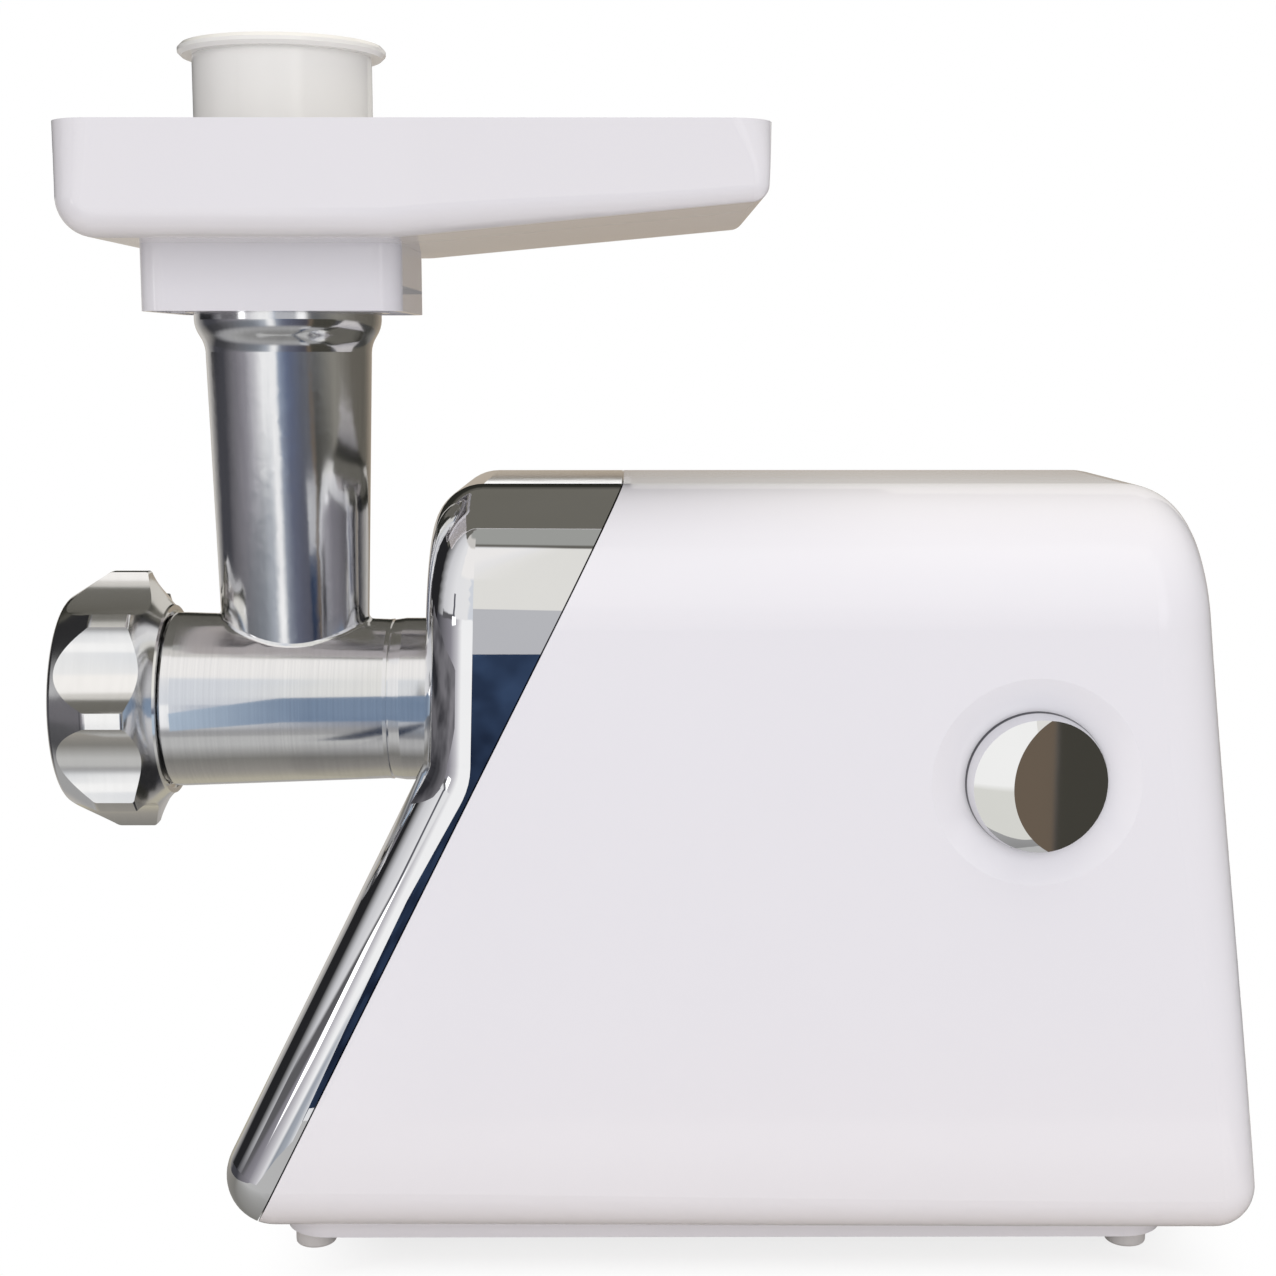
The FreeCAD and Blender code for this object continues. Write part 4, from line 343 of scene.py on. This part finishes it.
# Painted shade: the glowing table that metal mirrors darkens under the machine, where the real table lies
# in shade.
table_painted_shade = web.nodes.new("ShaderNodeValToRGB")
table_painted_shade.color_ramp.elements[0].color = (0.52, 0.52, 0.515, 1.0)
table_painted_shade.color_ramp.elements[1].color = (0.46, 0.43, 0.35, 1.0)
for place, tone in ((0.35, (0.22, 0.215, 0.20, 1.0)), (0.66, (0.31, 0.295, 0.27, 1.0))):
    table_painted_shade.color_ramp.elements.new(place).color = tone
table_place = web.nodes.new("ShaderNodeMapRange")
table_place.inputs["From Min"].default_value = TABLE_SHADE_NEAR
table_place.inputs["From Max"].default_value = TABLE_SHADE_FAR
web.links.new(reach.outputs["Y"], table_place.inputs["Value"])
web.links.new(table_place.outputs["Result"], table_painted_shade.inputs["Fac"])
web.links.new(table_painted_shade.outputs["Color"], seen_table.inputs["Color"])
path = web.nodes.new("ShaderNodeLightPath")
for name, mask, first, second in (
        ("clean", fade.outputs["Result"], pale, white),
        ("bounced", path.outputs["Is Glossy Ray"], table, seen_table)):
    mixer = web.nodes.new("ShaderNodeMixShader")
    mixer.name = name
    web.links.new(mask, mixer.inputs["Fac"])
    web.links.new(first.outputs[0], mixer.inputs[1])
    web.links.new(second.outputs[0], mixer.inputs[2])
shown = web.nodes.new("ShaderNodeMixShader")
web.links.new(path.outputs["Is Camera Ray"], shown.inputs["Fac"])
web.links.new(web.nodes["bounced"].outputs[0], shown.inputs[1])
web.links.new(web.nodes["clean"].outputs[0], shown.inputs[2])
web.links.new(shown.outputs[0], web.nodes.new("ShaderNodeOutputMaterial").inputs["Surface"])
floor_mesh.materials.append(paper)

# Base plate, its screws and the feet.
# A shallow white moulded plate closes the underside of the housing and is held by four zinc-plated screws.
# Four soft rubber buttons are pushed into it and carry the machine clear of the table.


def new_group(name, ins, outs):
    group = bpy.data.node_groups.new(name, "ShaderNodeTree")
    for label, kind, value in ins:
        socket = group.interface.new_socket(label, in_out="INPUT", socket_type=kind)
        socket.default_value = value
    for label, kind in outs:
        group.interface.new_socket(label, in_out="OUTPUT", socket_type=kind)
    return group, group.nodes.new("NodeGroupInput"), group.nodes.new("NodeGroupOutput")


def noise_in(tree, vector, scale, detail, rough=0.5):
    node = tree.nodes.new("ShaderNodeTexNoise")
    node.inputs["Detail"].default_value = detail
    node.inputs["Roughness"].default_value = rough
    if isinstance(scale, float):
        node.inputs["Scale"].default_value = scale
    else:
        tree.links.new(scale, node.inputs["Scale"])
    tree.links.new(vector, node.inputs["Vector"])
    return node.outputs["Fac"]


def spread_in(tree, value, low, high, start=0.0, end=1.0):
    node = tree.nodes.new("ShaderNodeMapRange")
    tree.links.new(value, node.inputs["Value"])
    node.inputs["From Min"].default_value = start
    node.inputs["From Max"].default_value = end
    for label, level in (("To Min", low), ("To Max", high)):
        if isinstance(level, float):
            node.inputs[label].default_value = level
        else:
            tree.links.new(level, node.inputs[label])
    return node.outputs["Result"]


def blend_in(tree, mask, first, second):
    node = tree.nodes.new("ShaderNodeMix")
    node.data_type = "RGBA"
    tree.links.new(mask, node.inputs["Factor"])
    for label, value in (("A", first), ("B", second)):
        socket = [s for s in node.inputs if s.name == label and s.type == "RGBA"][0]
        if isinstance(value, tuple):
            socket.default_value = value
        else:
            tree.links.new(value, socket)
    return [s for s in node.outputs if s.type == "RGBA"][0]


FINISH_OUT = (
    ("Colour", "NodeSocketColor"), ("Roughness", "NodeSocketFloat"), ("Height", "NodeSocketFloat"))
FINISH_IN = (
    ("Tone", "NodeSocketColor", (0.8, 0.8, 0.8, 1)), ("Second tone", "NodeSocketColor", (0.7, 0.7, 0.7, 1)),
    ("Gloss", "NodeSocketFloat", 0.1), ("Dull", "NodeSocketFloat", 0.2))

# Moulded skin: slow drift between two tones, faint flow and a fine grain, for plastic, rubber and castings.
moulded_skin, skin_in, skin_out = new_group(
    "moulded_skin", FINISH_IN + (("Grain", "NodeSocketFloat", 900.0),), FINISH_OUT)
skin_place = moulded_skin.nodes.new("ShaderNodeTexCoord").outputs["Object"]
skin_drift = noise_in(moulded_skin, skin_place, 14.0, 3.0)
skin_grain = noise_in(moulded_skin, skin_place, skin_in.outputs["Grain"], 2.0)
skin_tone = blend_in(moulded_skin, skin_drift, skin_in.outputs["Tone"], skin_in.outputs["Second tone"])
skin_gloss = spread_in(moulded_skin, skin_drift, skin_in.outputs["Gloss"], skin_in.outputs["Dull"])
moulded_skin.links.new(skin_tone, skin_out.inputs["Colour"])
moulded_skin.links.new(skin_gloss, skin_out.inputs["Roughness"])
moulded_skin.links.new(skin_grain, skin_out.inputs["Height"])


def finish(name, group, settings, metallic, bump, shade=None):
    material = bpy.data.materials.new(name)
    material.use_nodes = True
    tree = material.node_tree
    shader = tree.nodes["Principled BSDF"]
    surface = tree.nodes.new("ShaderNodeGroup")
    surface.node_tree = group
    for label, value in settings.items():
        surface.inputs[label].default_value = value
    colour = surface.outputs["Colour"]
    if shade:
        colour = shade(tree, colour)
    tree.links.new(colour, shader.inputs["Base Color"])
    tree.links.new(surface.outputs["Roughness"], shader.inputs["Roughness"])
    ripple = tree.nodes.new("ShaderNodeBump")
    ripple.inputs["Strength"].default_value = bump[0]
    ripple.inputs["Distance"].default_value = bump[1]
    tree.links.new(surface.outputs["Height"], ripple.inputs["Height"])
    tree.links.new(ripple.outputs["Normal"], shader.inputs["Normal"])
    shader.inputs["Metallic"].default_value = metallic
    return material


def dress(material, *names):
    for name in names:
        parts[name].data.materials[0] = material


SHELL = {"Tone": (0.79, 0.787, 0.835, 1), "Second tone": (0.775, 0.772, 0.82, 1), "Gloss": 0.03,
         "Dull": 0.055, "Grain": 240.0}
dress(finish("base_white", moulded_skin, SHELL, 0.0, (0.02, 0.0002)), "base_plate")
dress(finish("foot_rubber", moulded_skin, {
    "Tone": (0.70, 0.69, 0.69, 1), "Second tone": (0.62, 0.61, 0.61, 1), "Gloss": 0.38, "Dull": 0.55,
    "Grain": 1600.0}, 0.0, (0.15, 0.0003)), "rubber_feet")

# Polished metal: a mirror with a slow haze, short rub marks along one axis and a breath of tone.
polished_metal, metal_in, metal_out = new_group(
    "polished_metal", FINISH_IN + (("Stretch", "NodeSocketVector", (60.0, 60.0, 60.0)),), FINISH_OUT)
metal_place = polished_metal.nodes.new("ShaderNodeTexCoord").outputs["Object"]
metal_stretch = polished_metal.nodes.new("ShaderNodeVectorMath")
metal_stretch.operation = "MULTIPLY"
polished_metal.links.new(metal_place, metal_stretch.inputs[0])
polished_metal.links.new(metal_in.outputs["Stretch"], metal_stretch.inputs[1])
metal_lines = noise_in(polished_metal, metal_stretch.outputs["Vector"], 1.0, 4.0, 0.6)
metal_haze = noise_in(polished_metal, metal_place, 22.0, 3.0)
metal_tone = blend_in(
    polished_metal, metal_lines, metal_in.outputs["Tone"], metal_in.outputs["Second tone"])
metal_gloss = spread_in(polished_metal, metal_haze, metal_in.outputs["Gloss"], metal_in.outputs["Dull"])
polished_metal.links.new(metal_tone, metal_out.inputs["Colour"])
polished_metal.links.new(metal_gloss, metal_out.inputs["Roughness"])
polished_metal.links.new(metal_lines, metal_out.inputs["Height"])

zinc_steel = finish("zinc_steel", polished_metal, {
    "Tone": (0.66, 0.67, 0.68, 1), "Second tone": (0.52, 0.52, 0.50, 1), "Gloss": 0.22, "Dull": 0.36,
    "Stretch": (300.0, 300.0, 300.0)}, 1.0, (0.06, 0.0002))
dress(zinc_steel, "base_screws")

# Motor.
# A stack of iron stampings with lacquered copper wound round it, a turned steel shaft with fan and pinion,
# and two carbon brushes in brass boxes that bear on the copper commutator.
wound_wire, wire_in, wire_out = new_group(
    "wound_wire", FINISH_IN + (("Turns", "NodeSocketVector", (2000.0, 0.0, 0.0)),), FINISH_OUT)
wire_place = wound_wire.nodes.new("ShaderNodeTexCoord").outputs["Object"]
wire_lay = wound_wire.nodes.new("ShaderNodeVectorMath")
wire_lay.operation = "DOT_PRODUCT"
wound_wire.links.new(wire_place, wire_lay.inputs[0])
wound_wire.links.new(wire_in.outputs["Turns"], wire_lay.inputs[1])
wire_round = wound_wire.nodes.new("ShaderNodeMath")
wire_round.operation = "SINE"
wound_wire.links.new(wire_lay.outputs["Value"], wire_round.inputs[0])
wire_rise = spread_in(wound_wire, wire_round.outputs[0], 0.0, 1.0, -1.0, 1.0)
wire_drift = noise_in(wound_wire, wire_place, 60.0, 3.0)
wound_wire.links.new(
    blend_in(wound_wire, wire_rise, wire_in.outputs["Second tone"], wire_in.outputs["Tone"]),
    wire_out.inputs["Colour"])
wound_wire.links.new(
    spread_in(wound_wire, wire_drift, wire_in.outputs["Gloss"], wire_in.outputs["Dull"]),
    wire_out.inputs["Roughness"])
wound_wire.links.new(wire_rise, wire_out.inputs["Height"])

copper_wire = finish("copper_wire", wound_wire, {
    "Tone": (0.62, 0.25, 0.10, 1), "Second tone": (0.20, 0.07, 0.03, 1), "Gloss": 0.22, "Dull": 0.34,
    "Turns": (1500.0, 8000.0, 8000.0)}, 1.0, (0.5, 0.0004))
dress(copper_wire, "armature_windings", "field_windings")
dress(finish("commutator_bars", wound_wire, {
    "Tone": (0.72, 0.36, 0.20, 1), "Second tone": (0.34, 0.15, 0.08, 1), "Gloss": 0.20, "Dull": 0.32,
    "Turns": (9000.0, 0.0, 0.0)}, 1.0, (0.15, 0.0002)), "commutator")
dress(finish("core_iron", wound_wire, {
    "Tone": (0.30, 0.30, 0.31, 1), "Second tone": (0.12, 0.12, 0.13, 1), "Gloss": 0.35, "Dull": 0.5,
    "Turns": (9000.0, 0.0, 0.0)}, 1.0, (0.4, 0.0004)), "armature_core", "motor_stator")
hard_steel = finish("hard_steel", polished_metal, {
    "Tone": (0.60, 0.60, 0.61, 1), "Second tone": (0.48, 0.48, 0.49, 1), "Gloss": 0.16, "Dull": 0.28,
    "Stretch": (1400.0, 60.0, 60.0)}, 1.0, (0.08, 0.0002))
dress(hard_steel, "motor_shaft", "motor_pinion")
gear_nylon = finish("gear_nylon", moulded_skin, {
    "Tone": (0.74, 0.71, 0.62, 1), "Second tone": (0.68, 0.65, 0.56, 1), "Gloss": 0.30, "Dull": 0.42,
    "Grain": 700.0}, 0.0, (0.05, 0.0002))
dress(gear_nylon, "cooling_fan")
cast_alloy = finish("cast_alloy", moulded_skin, {
    "Tone": (0.58, 0.585, 0.59, 1), "Second tone": (0.47, 0.475, 0.48, 1), "Gloss": 0.36, "Dull": 0.52,
    "Grain": 1300.0}, 1.0, (0.25, 0.0004))
dress(cast_alloy, "motor_end_bracket")
bush_bronze = finish("bush_bronze", moulded_skin, {
    "Tone": (0.66, 0.43, 0.20, 1), "Second tone": (0.52, 0.32, 0.14, 1), "Gloss": 0.28, "Dull": 0.42,
    "Grain": 2400.0}, 1.0, (0.12, 0.0002))
dress(bush_bronze, "brush_holders")
dress(finish("carbon", moulded_skin, {
    "Tone": (0.035, 0.035, 0.036, 1), "Second tone": (0.055, 0.055, 0.056, 1), "Gloss": 0.5, "Dull": 0.7,
    "Grain": 3000.0}, 0.0, (0.2, 0.0002)), "carbon_brushes")
dress(zinc_steel, "motor_bearings", "motor_tie_bolts")

# Gear train.
# Two cast plates on posts carry a steel layshaft and the output shaft in bronze bushes.
# The large wheels are moulded nylon, the small pinion and the shafts are steel.
dress(cast_alloy, "gearbox_front", "gearbox_rear")
dress(zinc_steel, "gearbox_screws", "frame_screws")
dress(hard_steel, "layshaft", "layshaft_pinion", "output_shaft")
dress(gear_nylon, "first_gear", "output_gear")
dress(bush_bronze, "layshaft_bushes", "output_bushes")

# Rotary switch.
# A black moulded block with three brass blade ends, screwed behind the dish.
# A flatted steel spindle runs from it to the knob.
dress(finish("switch_black", moulded_skin, {
    "Tone": (0.02, 0.02, 0.021, 1), "Second tone": (0.03, 0.03, 0.031, 1), "Gloss": 0.32, "Dull": 0.46,
    "Grain": 1500.0}, 0.0, (0.12, 0.0003)), "rotary_switch")
dress(hard_steel, "knob_spindle")

# Housing and cord gland.
# One gloss white moulded shell with a shallow dish for the knob. Its open front edge meets the plated front
# in a fine dark joint on a slanted plane, and the lead's soft black gland sits in its back.
JOINT_LINE = -0.12617
JOINT_LEAN = -0.5
JOINT_REACH, JOINT_FADE = 0.00018, 0.000324


def joint_shade(tree, colour):
    place = tree.nodes.new("ShaderNodeSeparateXYZ")
    tree.links.new(tree.nodes.new("ShaderNodeTexCoord").outputs["Object"], place.inputs[0])
    lean = tree.nodes.new("ShaderNodeMath")
    lean.operation = "MULTIPLY_ADD"
    lean.inputs[1].default_value = JOINT_LEAN
    tree.links.new(place.outputs["Z"], lean.inputs[0])
    tree.links.new(place.outputs["X"], lean.inputs[2])
    apart = tree.nodes.new("ShaderNodeMath")
    apart.operation = "SUBTRACT"
    apart.inputs[1].default_value = JOINT_LINE
    tree.links.new(lean.outputs[0], apart.inputs[0])
    away = tree.nodes.new("ShaderNodeMath")
    away.operation = "ABSOLUTE"
    tree.links.new(apart.outputs[0], away.inputs[0])
    clean = spread_in(tree, away.outputs[0], 0.0, 1.0, JOINT_REACH, JOINT_FADE)
    return blend_in(tree, clean, (0.03, 0.03, 0.032, 1), colour)


dress(finish("housing_white", moulded_skin, SHELL, 0.0, (0.02, 0.0002), joint_shade), "housing")
dress(finish("gland_rubber", moulded_skin, {
    "Tone": (0.03, 0.03, 0.031, 1), "Second tone": (0.045, 0.045, 0.046, 1), "Gloss": 0.45, "Dull": 0.6,
    "Grain": 1800.0}, 0.0, (0.2, 0.0003)), "cord_gland")

# Plated front and head socket.
# A moulded front shell with a bright mirror plating, upright above and sloping forward as a leg below.
# Behind its hole a cast bayonet ring is screwed to the gearbox and takes the grinder head.
CHROME = {"Tone": (0.87, 0.87, 0.88, 1), "Second tone": (0.83, 0.83, 0.84, 1), "Gloss": 0.012, "Dull": 0.03,
          "Stretch": (40.0, 40.0, 40.0)}
dress(finish("front_chrome", polished_metal, CHROME, 1.0, (0.012, 0.0003), joint_shade), "front_fascia")
dress(cast_alloy, "head_socket")
dress(zinc_steel, "socket_screws")

# Grinder head.
# A cast alloy barrel with the feed tube standing on it, turned and polished. The barrel keeps fine lathe
# lines round it and the tube long rub marks down it.
TUBE_FOOT_LOW, TUBE_FOOT_HIGH = 0.184, 0.192


def rub_marks(tree, colour):
    place = tree.nodes.new("ShaderNodeTexCoord").outputs["Object"]
    height = tree.nodes.new("ShaderNodeSeparateXYZ")
    tree.links.new(place, height.inputs[0])
    tube_share = spread_in(tree, height.outputs["Z"], 0.0, 1.0, TUBE_FOOT_LOW, TUBE_FOOT_HIGH)
    marks = []
    for stretch in ((1100.0, 9.0, 9.0), (420.0, 420.0, 9.0)):
        scaled = tree.nodes.new("ShaderNodeVectorMath")
        scaled.operation = "MULTIPLY"
        scaled.inputs[1].default_value = stretch
        tree.links.new(place, scaled.inputs[0])
        marks.append(noise_in(tree, scaled.outputs["Vector"], 1.0, 5.0, 0.62))
    ground = tree.nodes.new("ShaderNodeMix")
    tree.links.new(tube_share, ground.inputs["Factor"])
    tree.links.new(marks[0], ground.inputs["A"])
    tree.links.new(marks[1], ground.inputs["B"])
    worn = spread_in(tree, ground.outputs[0], 0.0, 1.0, 0.30, 0.72)
    return blend_in(tree, worn, colour, (0.80, 0.80, 0.81, 1))


dress(finish("head_alloy", polished_metal, {
    "Tone": (0.90, 0.90, 0.90, 1), "Second tone": (0.86, 0.86, 0.87, 1), "Gloss": 0.10, "Dull": 0.16,
    "Stretch": (300.0, 300.0, 60.0)}, 1.0, (0.03, 0.0002), rub_marks), "grinder_head")

# Grinding set.
# A cast feed screw with a nylon thrust washer behind it drives a steel cross knife against a drilled
# steel plate, which a small key keeps from turning.
dress(cast_alloy, "auger")
dress(gear_nylon, "thrust_washer")
dress(hard_steel, "knife", "cutting_plate", "plate_key")

# Ring nut.
# A turned alloy nut with eight deep grip flutes, bright polished, screwed on the mouth of the barrel.
dress(finish("nut_alloy", polished_metal, {
    "Tone": (0.95, 0.945, 0.935, 1), "Second tone": (0.88, 0.875, 0.865, 1), "Gloss": 0.12, "Dull": 0.18,
    "Stretch": (700.0, 60.0, 60.0)}, 1.0, (0.03, 0.0002)), "ring_nut")

# Hopper tray.
# A gloss white moulded pan with a long lip over the body. The square socket under it drops over the tube.
TRAY = dict(SHELL, **{"Tone": (0.745, 0.741, 0.785, 1), "Second tone": (0.73, 0.726, 0.77, 1)})
dress(finish("tray_white", moulded_skin, TRAY, 0.0, (0.02, 0.0002)), "tray")

# Pusher.
# An off-white moulded plunger with a turned-out rim, hollow from above, loose in the feed tube.
dress(finish("pusher_white", moulded_skin, {
    "Tone": (0.84, 0.835, 0.81, 1), "Second tone": (0.81, 0.805, 0.78, 1), "Gloss": 0.08, "Dull": 0.14,
    "Grain": 260.0}, 0.0, (0.02, 0.0002)), "pusher")

# Control knob.
# A round plated knob with a shallow dome and one slanted flat, pushed on the switch spindle.
# The foot of its rim is darkened with a painted shadow, which stands in for the shade in the gap round the
# knob.
FOOT_SHADOW_HEIGHT = 0.0014
FOOT_SHADOW_EDGE = 0.0002
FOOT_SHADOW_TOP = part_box("switch_knob")[1][1] - FOOT_SHADOW_HEIGHT


# Painted shadow: the last strip of the rim next to the dish is blended towards near black.
def knob_foot_painted_shadow(tree, colour):
    place = tree.nodes.new("ShaderNodeSeparateXYZ")
    tree.links.new(tree.nodes.new("ShaderNodeTexCoord").outputs["Object"], place.inputs[0])
    inside = spread_in(tree, place.outputs["Y"], 0.0, 1.0, FOOT_SHADOW_TOP - FOOT_SHADOW_EDGE, FOOT_SHADOW_TOP)
    return blend_in(tree, inside, colour, (0.10, 0.10, 0.11, 1))


dress(finish("knob_chrome", polished_metal, CHROME, 1.0, (0.008, 0.0002), knob_foot_painted_shadow), "switch_knob")
